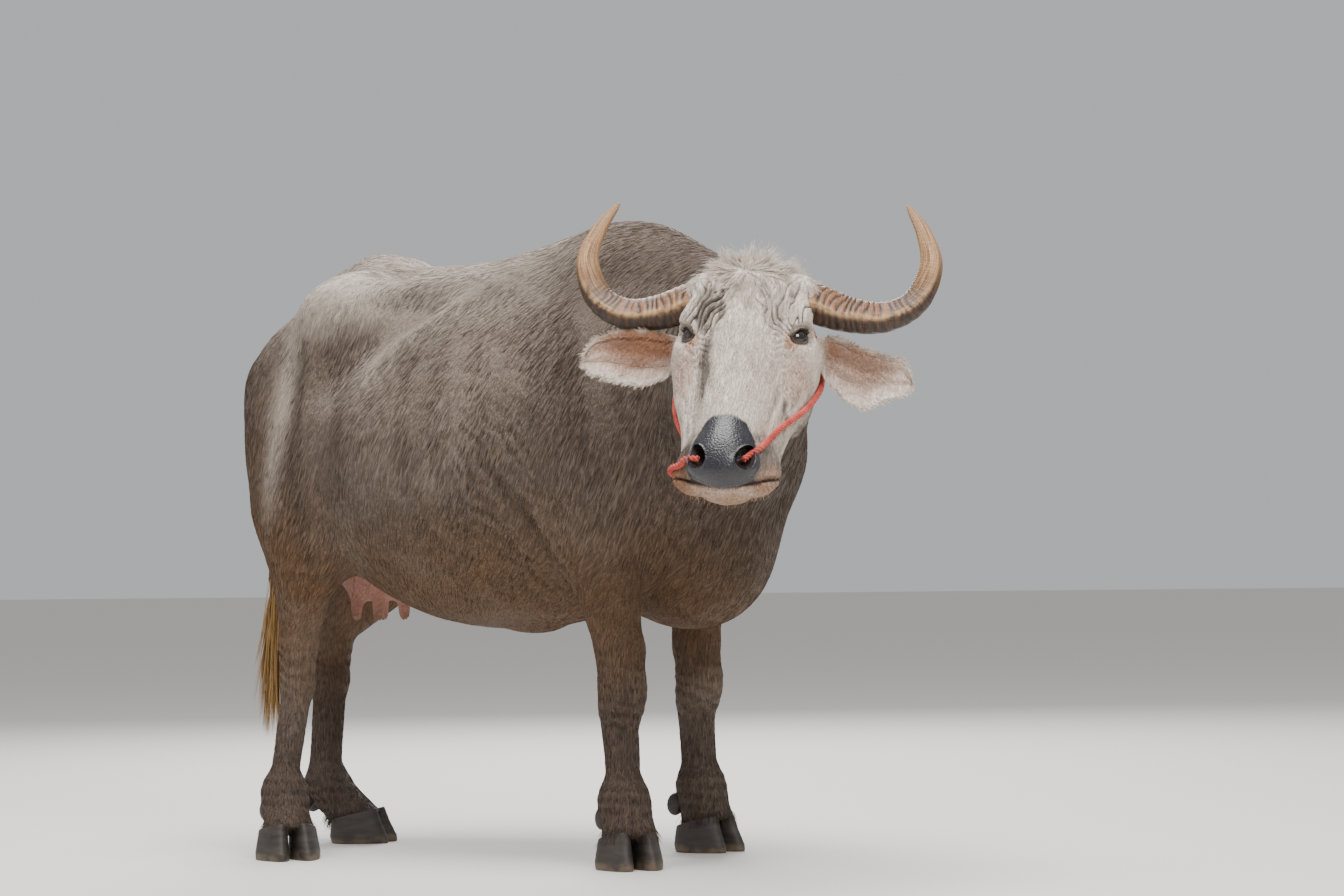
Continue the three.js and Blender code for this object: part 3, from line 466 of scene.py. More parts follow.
def head_forms() -> list[Form]:
    """Returns skull, bridge of the nose, muzzle, jaw, and the masses of each side of the face."""

    def lump(at: Triple, size: Triple, blend: float = 26) -> Mass:
        """Returns a mass in the head's frame."""
        return Mass(at, size, blend=blend, pose=HEAD)

    def bone(a: Triple, b: Triple, r: float, q: float, blend: float = 26, flat: float = 1) -> Limb:
        """Returns a limb in the head's frame."""
        return Limb(a, b, r, q, blend, HEAD, flat)

    forms: list[Form] = [
        lump((70, 0, -96), (122, 112, 94), 60),
        lump((105, 0, -46), (120, 106, 48)),
        bone((18, -84, -52), (18, 84, -52), 44, 44),
        bone((150, 0, -62), (385, 0, -60), 62, 46, 36, 0.9),
        bone((165, 0, -104), (395, 0, -92), 92, 70, 36),
        lump((428, 0, -56), (56, 60, 42), 20),
        lump((412, 0, -88), (58, 78, 44)),
        bone((120, 0, -170), (370, 0, -142), 64, 44, 40),
        lump((416, 0, -128), (50, 60, 30), 14),
    ]
    for _, s in SIDES:
        forms += [
            lump((142, s * 94, -72), (54, 40, 42), 28),
            lump((96, s * 88, -36), (42, 34, 30), 22),
            lump((95, s * 70, -158), (72, 46, 62), 40),
            lump((175, s * 84, -142), (100, 42, 70), 40),
            bone((160, s * 96, -104), (375, s * 62, -108), 32, 26, 34),
            lump((424, s * 54, -98), (50, 44, 30), 16),
            lump((446, s * 42, -50), (26, 24, 24), 12),
        ]
    return forms


UDDER_AT: Triple = (-745, -8, 590)
TAIL_CHAIN = (
    ((-860, 0, 1072), 29), ((-930, 0, 1070), 28), ((-978, 0, 1030), 26), ((-1000, 0, 950), 24),
    ((-1018, 2, 760), 19), ((-1028, 0, 580), 14), ((-1032, -2, 480), 11), ((-1034, -4, 410), 9),
)


def tail_and_udder_forms() -> list[Form]:
    """Returns the dock of the tail, and the udder with its four teats."""
    forms: list[Form] = chain(TAIL_CHAIN, 16)
    forms.append(Mass(UDDER_AT, (92, 88, 72), blend=24))
    for _, s in SIDES:
        for x in (-716, -772):
            forms.append(Limb((x, s * 40 - 8, 560), (x, s * 46 - 8, 492), 20, 12, 16))
    return forms


def whole_flesh() -> Flesh:
    """Returns the flesh of the whole animal, but for its ears."""
    forms = trunk_forms()
    for blend, stations in NECK_CHAINS:
        forms += chain(stations, blend)
    forms += head_forms()
    for leg in LEGS.values():
        forms += leg.forms()
    return Flesh(forms + tail_and_udder_forms())


# Meshes of the skin


@dataclass
class Sheet:
    """A skin under way: its points, and its faces of four and of three corners."""

    points: Points
    quads: Faces
    tris: Faces = field(default_factory=lambda: np.zeros((0, 3), int))

    def refine(self, chosen: Points) -> None:
        """Splits each chosen quad in four, and fans out the faces next to them.

        Args:
            chosen: One truth value a quad.
        """
        quads = self.quads
        ends = np.sort(np.stack([quads, np.roll(quads, -1, axis=1)], axis=2), axis=2)
        keys = ends[..., 0] * len(self.points) + ends[..., 1]
        split = np.unique(keys[chosen])
        first = len(self.points)
        middles = (self.points[split // first] + self.points[split % first]) / 2
        centres = self.points[quads[chosen]].mean(axis=1)
        place = np.minimum(np.searchsorted(split, keys), len(split) - 1)
        mid = np.where(split[place] == keys, first + place, -1)
        centre = first + len(split) + np.arange(len(centres))
        old, new = quads[chosen], mid[chosen]
        parts = [np.stack([old[:, n], new[:, n], centre, new[:, n - 1]], 1) for n in range(4)]
        border = ~chosen & (mid >= 0).any(axis=1)
        fans, hubs = [], []
        hub = first + len(split) + len(centres)
        for corners, halves in zip(quads[border], mid[border]):
            ring = [n for pair in zip(corners, halves) for n in pair if n >= 0]
            hubs.append(self.points[corners].mean(axis=0))
            fans += [(hub, a, b) for a, b in zip(ring, ring[1:] + ring[:1])]
            hub += 1
        self.points = np.vstack([self.points, middles, centres, np.array(hubs).reshape(-1, 3)])
        self.quads = np.vstack([quads[~chosen & ~border], *parts])
        self.tris = np.vstack([self.tris, np.array(fans, int).reshape(-1, 3)])

    def open_up(self, inside: Points) -> Faces:
        """Takes out the faces whose corners all lie inside, and returns the rim in order.

        Args:
            inside: One truth value a point.

        Returns:
            The points round the largest rim, one after the other.
        """
        gone_quads = inside[self.quads].all(axis=1)
        gone_tris = inside[self.tris].all(axis=1)
        edges: dict[tuple[int, int], None] = {}
        for face in [*self.quads[gone_quads], *self.tris[gone_tris]]:
            edges.update({(int(a), int(b)): None for a, b in zip(face, np.roll(face, -1))})
        rim = {a: b for a, b in edges if (b, a) not in edges}
        self.quads = self.quads[~gone_quads]
        self.tris = self.tris[~gone_tris]
        loops = []
        while rim:
            start = next(iter(rim))
            loop, at = [start], rim.pop(start)
            while at != start and at in rim:
                loop.append(at)
                at = rim.pop(at)
            loops.append(loop)
        return np.array(max(loops, key=len))

    def close_with(self, rim: Faces, rings: Sequence[Points]) -> None:
        """Runs rings of points inwards from a rim, and closes the last with a fan.

        Args:
            rim: The points of the rim, in order.
            rings: The rings, each with as many points as the rim.
        """
        count = len(rim)
        last = rim
        for ring in rings:
            fresh = len(self.points) + np.arange(count)
            self.points = np.vstack([self.points, ring])
            band = np.stack([last, np.roll(last, -1), np.roll(fresh, -1), fresh], 1)
            self.quads = np.vstack([self.quads, band])
            last = fresh
        fan = np.stack([last, np.roll(last, -1), np.full(count, len(self.points))], 1)
        self.points = np.vstack([self.points, self.points[last].mean(axis=0)])
        self.tris = np.vstack([self.tris, fan])

    def normals(self) -> Points:
        """Returns the unit normal at each point, from the faces round it."""
        total = np.zeros_like(self.points)
        p = self.points
        for faces in (self.quads, self.tris):
            if not len(faces):
                continue
            third, last = faces[:, 2], faces[:, -1]
            cross = np.cross(p[third] - p[faces[:, 0]], p[last] - p[faces[:, 1]])
            for n in range(faces.shape[1]):
                for axis in range(3):
                    total[:, axis] += np.bincount(faces[:, n], cross[:, axis], len(p))
        return unit(total)

    def triangles(self) -> Faces:
        """Returns all faces as triangles."""
        return np.vstack([self.quads[:, [0, 1, 2]], self.quads[:, [0, 2, 3]], self.tris])

    def smoothed(self, values: Points, rounds: int = 1) -> Points:
        """Returns values of the points, each averaged with its neighbours'."""
        for _ in range(rounds):
            total = np.zeros_like(values)
            count = np.zeros(len(values))
            for faces in (self.quads, self.tris):
                for n in range(faces.shape[1]):
                    a, b = faces[:, n], faces[:, (n + 1) % faces.shape[1]]
                    for x, y in ((a, b), (b, a)):
                        count += np.bincount(x, minlength=len(values))
                        total += np.bincount(x, values[y], len(values))
            values = 0.5 * values + 0.5 * total / np.maximum(count, 1)
        return values


def net(heights: Points, low: Points, pitch: float) -> Sheet:
    """Meshes the zero surface of heights on a grid, with one point to a cell that it crosses."""
    inside = heights < 0
    count = sum(
        inside[x : x - 1 or None, y : y - 1 or None, z : z - 1 or None].astype(np.int8)
        for x in (0, 1)
        for y in (0, 1)
        for z in (0, 1)
    )
    cells = np.argwhere((count > 0) & (count < 8))
    index = np.full(count.shape, -1)
    index[tuple(cells.T)] = np.arange(len(cells))
    total = np.zeros((len(cells), 3))
    hits = np.zeros(len(cells))
    for axis in range(3):
        for u in (0, 1):
            for v in (0, 1):
                corner = np.zeros(3, int)
                corner[(axis + 1) % 3], corner[(axis + 2) % 3] = u, v
                a = heights[tuple((cells + corner).T)]
                b = heights[tuple((cells + corner + np.eye(3, dtype=int)[axis]).T)]
                cross = (a < 0) != (b < 0)
                place = (cells + corner).astype(float)
                place[:, axis] += np.where(cross, a / np.where(cross, a - b, 1), 0)
                total[cross] += place[cross]
                hits += cross
    quads = []
    for axis in range(3):
        n, m = (axis + 1) % 3, (axis + 2) % 3
        here = np.moveaxis(inside, axis, 0)
        edges = np.argwhere(here[:-1] != here[1:])
        full = np.zeros_like(edges)
        others = [k for k in range(3) if k != axis]
        full[:, axis] = edges[:, 0]
        full[:, others[0]], full[:, others[1]] = edges[:, 1], edges[:, 2]
        full = full[(full[:, n] > 0) & (full[:, m] > 0)]
        full = full[(full[:, n] < count.shape[n]) & (full[:, m] < count.shape[m])]
        ring = []
        for u, v in ((-1, -1), (0, -1), (0, 0), (-1, 0)):
            cell = full.copy()
            cell[:, n] += u
            cell[:, m] += v
            ring.append(index[tuple(cell.T)])
        faces = np.stack(ring, 1)
        flip = ~inside[tuple(full.T)]
        faces[flip] = faces[flip][:, ::-1]
        quads.append(faces)
    return Sheet(low + pitch * total / hits[:, None], np.vstack(quads))


# Marks of the coat, shared by skin and hair, with painted highlights and painted shade among them


class Mark(IntEnum):
    """A share from 0 to 1 that colours the skin and the hair over it."""

    PALE = 0
    WARM = 1
    DARK = 2
    PINK = 3
    NOSE = 4
    RUST = 5
    LIP = 6
    # Painted shade: darkens creases, folds and the insides of the nostrils.
    PAINTED_SHADE = 7
    EAR = 8


def raise_mark(marks: Points, mark: Mark, share: Points) -> None:
    """Raises one mark to a share wherever it is lower."""
    marks[:, mark] = np.maximum(marks[:, mark], share)


@dataclass(frozen=True)
class Patch:
    """A soft round patch of one mark on the head, in the head's frame."""

    mark: Mark
    at: Triple
    size: Triple
    top: float
    fade: tuple[float, float]
    ragged: float = 0.0
    grain: float | Triple = 20.0
    seed: int = 0

    def share(self, places: Points) -> Points:
        """Returns its share at places of the head's frame."""
        reach = span((places - self.at) / self.size)
        if self.ragged:
            reach = reach + self.ragged * noise(places, self.grain, self.seed, 2)
        return self.top * step(reach, *self.fade)


PATCHES = (
    Patch(Mark.DARK, (236, -57, -28), (88, 19, 36), 0.9, (1.25, 0.4), 0.35, (30, 6, 12), 4),
    *(
        patch
        for s, brow, muzzle in ((-1, 0.8, 1.0), (1, 0.5, 0.8))
        for patch in (
            Patch(Mark.DARK, (92, s * 62, -8), (70, 34, 40), brow, (1.1, 0.5), 0.4, (26, 6, 14), 7),
            Patch(Mark.DARK, (428, s * 84, -66), (70, 46, 58), muzzle, (1.2, 0.5), 0.3, 20, 8),
            Patch(Mark.RUST, (158, s * 88, -36), (24, 20, 26), 1.0, (1.15, 0.3)),
            Patch(Mark.PINK, (210, s * 105, -70), (60, 30, 50), 0.45, (1.3, 0.3)),
        )
    ),
)


@dataclass(frozen=True)
class Markings:
    """Where the animal is pale, dark, golden, pink or rusty, by place on its body, with painted highlights
    and painted shade on the trunk.
    """

    pad_x: float = 422.0
    pad_back: float = 60.0
    pad_ahead: float = 92.0
    pad_half: float = 61.0
    pad_power: float = 3.6
    pad_low: float = -84.0

    def in_head(self, points: Points) -> Points:
        """Returns the share of the head at each point, 0 behind the nape."""
        return head_share(points, -50)

    def nose(self, points: Points) -> Points:
        """Returns the share of the bare nose pad at each point."""
        h = HEAD.into(points)
        ragged = 0.045 * noise(points, 12, 3, 2)
        across = np.abs(h[:, 1]) / (self.pad_half - 13 * step(h[:, 0], 425, 368))
        ahead = h[:, 0] - self.pad_x
        along = np.abs(ahead) / np.where(ahead > 0, self.pad_ahead, self.pad_back)
        reach = (across**self.pad_power + along**self.pad_power) ** (1 / self.pad_power) + ragged
        low = self.pad_low + 14 * step(h[:, 0], 446, 470)
        pad = step(reach, 1.05, 0.95) * step(h[:, 2], low - 9, low)
        for _, s in SIDES:
            rim = span((h - (448, s * 50, -34)) / (34, 27, 27)) + ragged
            pad = np.maximum(pad, step(rim, 1.12, 0.98))
        return pad

    def of(self, points: Points) -> Points:
        """Returns all marks at points of the animal's frame, one row a point."""
        marks = np.zeros((len(points), len(Mark)))
        fine = noise(points, 45, 2, 2)
        self.mark_body(marks, points, fine)
        self.mark_head(marks, points, fine)
        return np.clip(marks, 0, 1)

    def mark_body(self, marks: Points, points: Points, fine: Points) -> None:
        """Marks trunk, legs and udder, with painted highlights on the back and hindquarters and painted
        shade under the belly and on the neck.

        Args:
            marks: The marks, which it changes.
            points: Where they are.
            fine: Small blotches, from -1 to 1.
        """
        body = 1 - self.in_head(points)
        x, y, z = points.T
        side = np.abs(y)
        broad = noise(points, 160, 1, 3)
        # Painted highlights: the pale marks on the hip bone, the ridge of the flank and the rear edge of the
        # thigh, and painted top light along the back behind the hump (crest); only the broad blotches are
        # the hide's own.
        hip = np.exp(-(((x - HIP[0]) / 70) ** 2 + ((side - HIP[1]) / 60) ** 2 + ((z - HIP[2]) / 60) ** 2))
        flank_highlight = hill(z - 0.55 * (x + 560) - 1010, 0, 60) * hill(x, -560, 110) * step(side, 180, 260)
        thigh = hill(x - 0.12 * (z - 900), -800, 40) * step(z, 620, 800) * step(side, 120, 200)
        crest = step(z, 990, 1200) * step(x + 120 * broad, -40, -460)
        pale = 0.62 * hip + 0.36 * flank_highlight + 0.36 * thigh + 0.42 * crest + 0.08 * broad
        marks[:, Mark.PALE] = body * pale
        # Golden-brown under the belly and darker towards it: partly the hide's colour, partly painted shade.
        belly = step(z + 50 * broad, 800, 480) * body
        rear = step(x, -640, -860) * step(z, 1080, 760) * body
        warm = 0.92 * belly + 0.4 * rear + 0.1 * broad * body + 0.1 * fine * body
        marks[:, Mark.WARM] = np.clip(warm, 0, 1)
        low_leg = step(z + 40 * broad, 520, 240) * body
        rump = step(x, -850, -940) * step(z, 900, 1050) * 0.45
        # Painted shade on the neck and the front of the chest, in part darker hide.
        neck_shade = step(x, 60, 200) * body * 0.5
        marks[:, Mark.DARK] = np.clip(0.85 * low_leg + rump + neck_shade + 0.08 * broad * body, 0, 1)
        udder = span((points - UDDER_AT) / (118, 110, 104))
        marks[:, Mark.PINK] = 0.8 * step(udder, 1.25, 0.95)
        groin = step(side, 150, 60) * step(x, -560, -640) * step(z, 760, 640) * step(z, 420, 520) * 0.5
        raise_mark(marks, Mark.PINK, groin * step(x, -960, -930))

    def mark_head(self, marks: Points, points: Points, fine: Points) -> None:
        """Marks face, brows, muzzle and lips.

        Args:
            marks: The marks, which it changes.
            points: Where they are.
            fine: Small blotches, from -1 to 1.
        """
        h = HEAD.into(points)
        head = self.in_head(points)
        marks[:, Mark.PALE] += head * step(h[:, 2], -190, -90) * (0.86 + 0.14 * fine)
        for patch in PATCHES:
            raise_mark(marks, patch.mark, head * patch.share(h))
        nose = self.nose(points) * head
        chin = step(h[:, 0], 400, 440) * step(h[:, 2], -60, -84)
        marks[:, Mark.LIP] = head * chin * (0.75 + 0.35 * fine) * (1 - nose)
        marks[:, Mark.NOSE] = nose
        marks[:, Mark.PALE] *= 1 - 0.95 * head * marks[:, Mark.DARK]


# Folds and wrinkles, as heights over the smooth flesh


def to_line(points: Points, line: Points) -> tuple[Points, Points]:
    """Measures points against a line through given places.

    Args:
        points: The points.
        line: The places that it runs through.

    Returns:
        How far each point is from it, and how far along it the nearest place is, from 0 to 1.
    """
    best = np.full(len(points), 1e9)
    along = np.zeros(len(points))
    for n, (a, b) in enumerate(zip(line, line[1:])):
        run = b - a
        t = np.clip((points - a) @ run / (run @ run), 0, 1)
        gap = span(points - a - t[:, None] * run)
        near = gap < best
        best[near] = gap[near]
        along[near] = (n + t[near]) / (len(line) - 1)
    return best, along


def curve_through(places: Points, count: int) -> Points:
    """Returns evenly numbered points of a smooth curve through places."""
    places = np.asarray(places, float)
    padded = np.vstack([2 * places[0] - places[1], places, 2 * places[-1] - places[-2]])
    t = np.linspace(0, len(places) - 1, count)
    n = np.minimum(t.astype(int), len(places) - 2)
    u = (t - n)[:, None]
    a, b, c, d = (padded[n + k] for k in range(4))
    return 0.5 * (2 * b + (c - a) * u + (2 * a - 5 * b + 4 * c - d) * u**2 + (3 * b - a - 3 * c + d) * u**3)


LIP_LINE = (
    (384, -82, -122), (412, -88, -109), (443, -79, -92), (464, -46, -80), (474, 0, -75),
    (464, 46, -80), (443, 79, -92), (412, 88, -109), (384, 82, -122),
)


ELBOW_LINE = ((-228, 345, 805), (-206, 332, 745), (-166, 292, 664), (-150, 240, 592), (-150, 190, 556))
RIDGES = (
    (((-610, 270, 965), (-520, 255, 1025), (-420, 228, 1092), (-330, 175, 1160)), 14.0, 26.0),
    (((-700, 250, 1090), (-722, 268, 1040), (-712, 298, 853), (-706, 284, 650)), 11.0, 30.0),
    (((-640, 240, 1128), (-760, 180, 1120), (-880, 120, 1040)), 9.0, 30.0),
    (((-120, 190, 1120), (-60, 250, 1000), (-20, 290, 860), (0, 290, 740)), 7.0, 34.0),
)
HOLLOWS = (
    (np.array((-505, 205, 1120)), (80, 90, 46), 16.0),
    (np.array((-655, 300, 940)), (42, 90, 120), 11.0),
    (np.array((-800, 250, 1010)), (60, 90, 90), 9.0),
    (np.array((-170, 270, 960)), (46, 90, 130), 7.0),
)


@dataclass
class Folds:
    """The folds and wrinkles of the hide, in millimetres over the flesh."""

    flesh: Flesh
    lip_depth: float = 7.0
    brow_depth: float = 12.0
    elbow_depth: float = 8.0

    def __post_init__(self) -> None:
        """Lays the mouth line and the creases of the body on the flesh."""
        self.lips = self.flesh.settle(HEAD.out(curve_through(LIP_LINE, 60)), 0, 6)
        self.creases = []
        for _, s in SIDES:
            line = curve_through([(x, s * y, z) for x, y, z in ELBOW_LINE], 30)
            self.creases.append(self.flesh.settle(line, 0, 6))

    def head(self, points: Points) -> Points:
        """Returns the heights of the folds of the head."""
        h = HEAD.into(points)
        x, y, z = h.T
        height = np.zeros(len(points))
        wave = noise(h, (60, 22, 40), 5, 2)
        for s, strength, centre in ((-1, 1.0, (100, -80, -14)), (1, 0.55, (92, 84, -20))):
            near = span((h - centre) / (84, 58, 64))
            bend = s * y - 0.0035 * (x - 70) ** 2
            ridges = np.abs(np.sin(bend / 4.6 + 3.6 * wave))
            uneven = 0.9 + 0.7 * noise(h, (40, 16, 30), 10, 2)
            height += strength * self.brow_depth * step(near, 1.15, 0.5) * (ridges**0.6 - 0.74) * uneven
            under = span((h - (178, s * 78, -28)) / (38, 30, 40))
            arcs = np.abs(np.sin((x + 0.5 * s * y) / 4.2 + 2.5 * wave))
            height += 1.8 * step(under, 1.2, 0.5) * (arcs - 0.6)
            cheek = step(x, 180, 240) * step(x, 400, 330) * step(np.abs(y), 50, 80)
            height += cheek * 0.9 * noise(h, (90, 9, 12), 6, 2)
        height += 0.8 * noise(h, (50, 12, 20), 8, 2) * step(x, 360, 300)
        gap, _ = to_line(points, self.lips)
        height -= self.lip_depth * np.exp(-((gap / 2.6) ** 2))
        height += 1.8 * hill(gap, 9, 6)
        chin = step(x, 395, 430) * step(z, -96, -112)
        height += 0.8 * chin * noise(h, 7, 9, 2)
        return height

    def body(self, points: Points) -> Points:
        """Returns the heights of the folds of trunk, neck and legs."""
        x, y, z = points.T
        side = np.abs(y)
        height = np.zeros(len(points))
        for crease in self.creases:
            gap, along = to_line(points, crease)
            ease = np.sin(np.pi * np.clip(along, 0.02, 0.98)) ** 0.7
            height -= self.elbow_depth * np.exp(-((gap / (17 + 4 * noise(points, 40, 18))) ** 2)) * ease
            height += 4.5 * hill(gap, 30, 18) * ease
            fine = np.abs(np.sin((x + 0.9 * z) / 11 + 2.4 * noise(points, (60, 60, 60), 11, 2)))
            height += 2.4 * step(gap, 110, 20) * (fine - 0.6)
        ribs = np.sin((x + 0.18 * z) / 13.5 + 0.8 * noise(points, 150, 12))
        ribs = ribs * step(z, 620, 760) * step(z, 1080, 980)
        height += 1.1 * ribs * step(x, -470, -420) * step(x, -190, -240) * step(side, 200, 300)
        neck = step(x, 40, 130) * step((points - NAPE) @ NAPE_WAY, 20, -60) * step(z, 700, 800)
        pleats = np.abs(np.sin((x - 0.55 * y) / 13 + 2.2 * noise(points, (80, 80, 160), 13, 2)))
        height += 3.2 * neck * step(z, 1120, 1000) * (pleats - 0.6)
        for leg in LEGS.values():
            jx, jy, jz = leg.middle
            near = span((points - (jx, jy, jz)) / (80, 80, 90))
            rolls = np.abs(np.sin((z + 0.2 * x) / 8.5 + 2 * noise(points, (50, 50, 30), 14, 2)))
            height += 1.9 * step(near, 1.1, 0.6) * (rolls - 0.6)
            fx, fy, fz = leg.fetlock
            near = span((points - (fx, fy, fz)) / (75, 75, 60))
            height += 1.5 * step(near, 1.1, 0.6) * (np.abs(np.sin(z / 7 + noise(points, 40, 15))) - 0.6)
        height += 0.6 * noise(points, 55, 16, 2) + 0.35 * noise(points, (30, 30, 14), 17)
        return height

    def broad(self, points: Points) -> Points:
        """Returns the heights of the broad ridges and hollows over bone and muscle."""
        height = np.zeros(len(points))
        for places, rise, wide in RIDGES:
            for s in (1, -1):
                gap, along = to_line(points, curve_through([(a, s * b, c) for a, b, c in places], 20))
                height += rise * hill(gap, 0, wide) * np.sin(np.pi * np.clip(along, 0.03, 0.97)) ** 0.6
        mirrored = np.column_stack([points[:, 0], np.abs(points[:, 1]), points[:, 2]])
        for at, size, deep in HOLLOWS:
            height -= deep * np.exp(-(((mirrored - at) / size) ** 2).sum(axis=1))
        return height * (1 - head_share(points))

    def of(self, points: Points) -> Points:
        """Returns the height of the folds at each point."""
        head = head_share(points)
        height = np.zeros(len(points))
        inner = head > 0
        height[inner] += head[inner] * self.head(points[inner])
        outer = head < 1
        height[outer] += (1 - head[outer]) * self.body(points[outer])
        return height


# The hide: one skin over the whole animal


@dataclass(frozen=True)
class EyeSocket:
    """The frame of one eye: U runs to its rear corner, V up, W outwards, in millimetres."""

    side: int
    half_length: float = 19.5
    upper: float = 12.5
    lower: float = 9.5

    def pose(self) -> Pose:
        """Returns the frame, with U, V and W as the columns of its turn."""
        out = HEAD.way(0.25, self.side * 0.8, 0.55)
        along = HEAD.way(-0.7, self.side * 0.45, -0.55)
        up = unit(np.cross(out, along)) * self.side
        return Pose(np.stack([unit(along - out * (along @ out)), up, out], 1), self.centre())

    def centre(self) -> np.ndarray:
        """Returns the middle of the eyeball."""
        return HEAD.out([EYE_AT[0], self.side * EYE_AT[1], EYE_AT[2]])

    def margin(self, turn: Points) -> Points:
        """Returns the edge of the lids, as U and V, by an angle round the eye."""
        v = np.sin(turn)
        tall = np.where(v > 0, self.upper, self.lower)
        return np.stack([self.half_length * np.cos(turn), tall * v * np.abs(v) ** 0.25], 1)


EAR_STATIONS = {
    1: (
        (118, 100, -100, 30), (120, 140, -106, 40), (144, 178, -112, 53), (158, 210, -118, 54),
        (150, 250, -124, 41), (150, 280, -126, 31), (160, 302, -126, 10),
    ),
    -1: (
        (120, 100, -100, 30), (124, 145, -106, 40), (122, 192, -112, 51), (112, 225, -118, 49),
        (106, 256, -122, 44), (105, 288, -126, 33), (112, 312, -128, 10),
    ),
}
EAR_FRONT = unit(np.array([0.5, 0, 0.87]))
EAR_DOWN = unit(np.array([0.87, 0, -0.5]))


@dataclass(frozen=True)
class EarShape:
    """One ear as a cupped leaf, by its share of the way out from the head."""

    side: int
    samples: int = 61

    def spine(self) -> Points:
        """Returns the middle of the leaf and its half breadth at evenly numbered places."""
        return curve_through(EAR_STATIONS[self.side], self.samples)

    def at(self, share: Points) -> Points:
        """Returns middle (in the head's frame, to the left) and half breadth at shares of the way."""
        spine = self.spine()
        place = np.clip(share, 0, 1) * (self.samples - 1)
        rows = [np.interp(place, np.arange(self.samples), spine[:, n]) for n in range(4)]
        rows[3] = rows[3] + 7 * hill(share, 0.9, 0.09)
        return np.stack(rows, 1)

    def cup(self, share: Points) -> Points:
        """Returns how deep the leaf is cupped."""
        return 12 + 14 * step(share, 0, 0.18) - 17 * step(share, 0.3, 1.0)

    def ring(self, share: float, turn: Points) -> Points:
        """Returns a ring of points round the leaf, in the head's frame.

        Args:
            share: How far out it is, from 0 to 1.
            turn: The angles of its points, from the lower edge by way of the front.

        Returns:
            One point an angle.
        """
        x, y, z, half = self.at(np.array([share]))[0]
        thick = 3.2 + 9 * float(step(np.array(share), 0.22, 0.0))
        across = np.cos(turn)
        front = np.sin(turn) > 0
        ridges = 1.6 * np.cos(9 * across) * (1 - across**2) * float(step(np.array(share), 0.05, 0.3))
        swell = 0.13 * hill(share, 0.62, 0.15) * np.maximum(across, 0)
        edge = 1 + 0.03 * np.sin(23 * share + 1.3 * self.side) + swell
        high = thick * np.sin(turn) - self.cup(np.array(share)) * np.sin(turn) ** 2 + ridges * front
        middle = np.array([x, self.side * y, z])
        return middle + np.outer(high, EAR_FRONT) + np.outer(half * edge * across, EAR_DOWN)

    def within(self, points: Points) -> tuple[Points, Points, Points]:
        """Measures points in the head's frame against the leaf.

        Args:
            points: The points.

        Returns:
            The share of the way out, the share of the half breadth from the middle down, and the
            height in front of the middle of the leaf.
        """
        spine = self.spine()
        y = np.clip(self.side * points[:, 1], spine[0, 1], spine[-1, 1])
        share = np.interp(y, spine[:, 1], np.linspace(0, 1, self.samples))
        at = self.at(share)
        rel = points - np.stack([at[:, 0], self.side * at[:, 1], at[:, 2]], 1)
        down = rel @ EAR_DOWN / at[:, 3]
        high = rel @ EAR_FRONT + self.cup(share) * (1 - np.clip(down, -1, 1) ** 2)
        return share, down, high


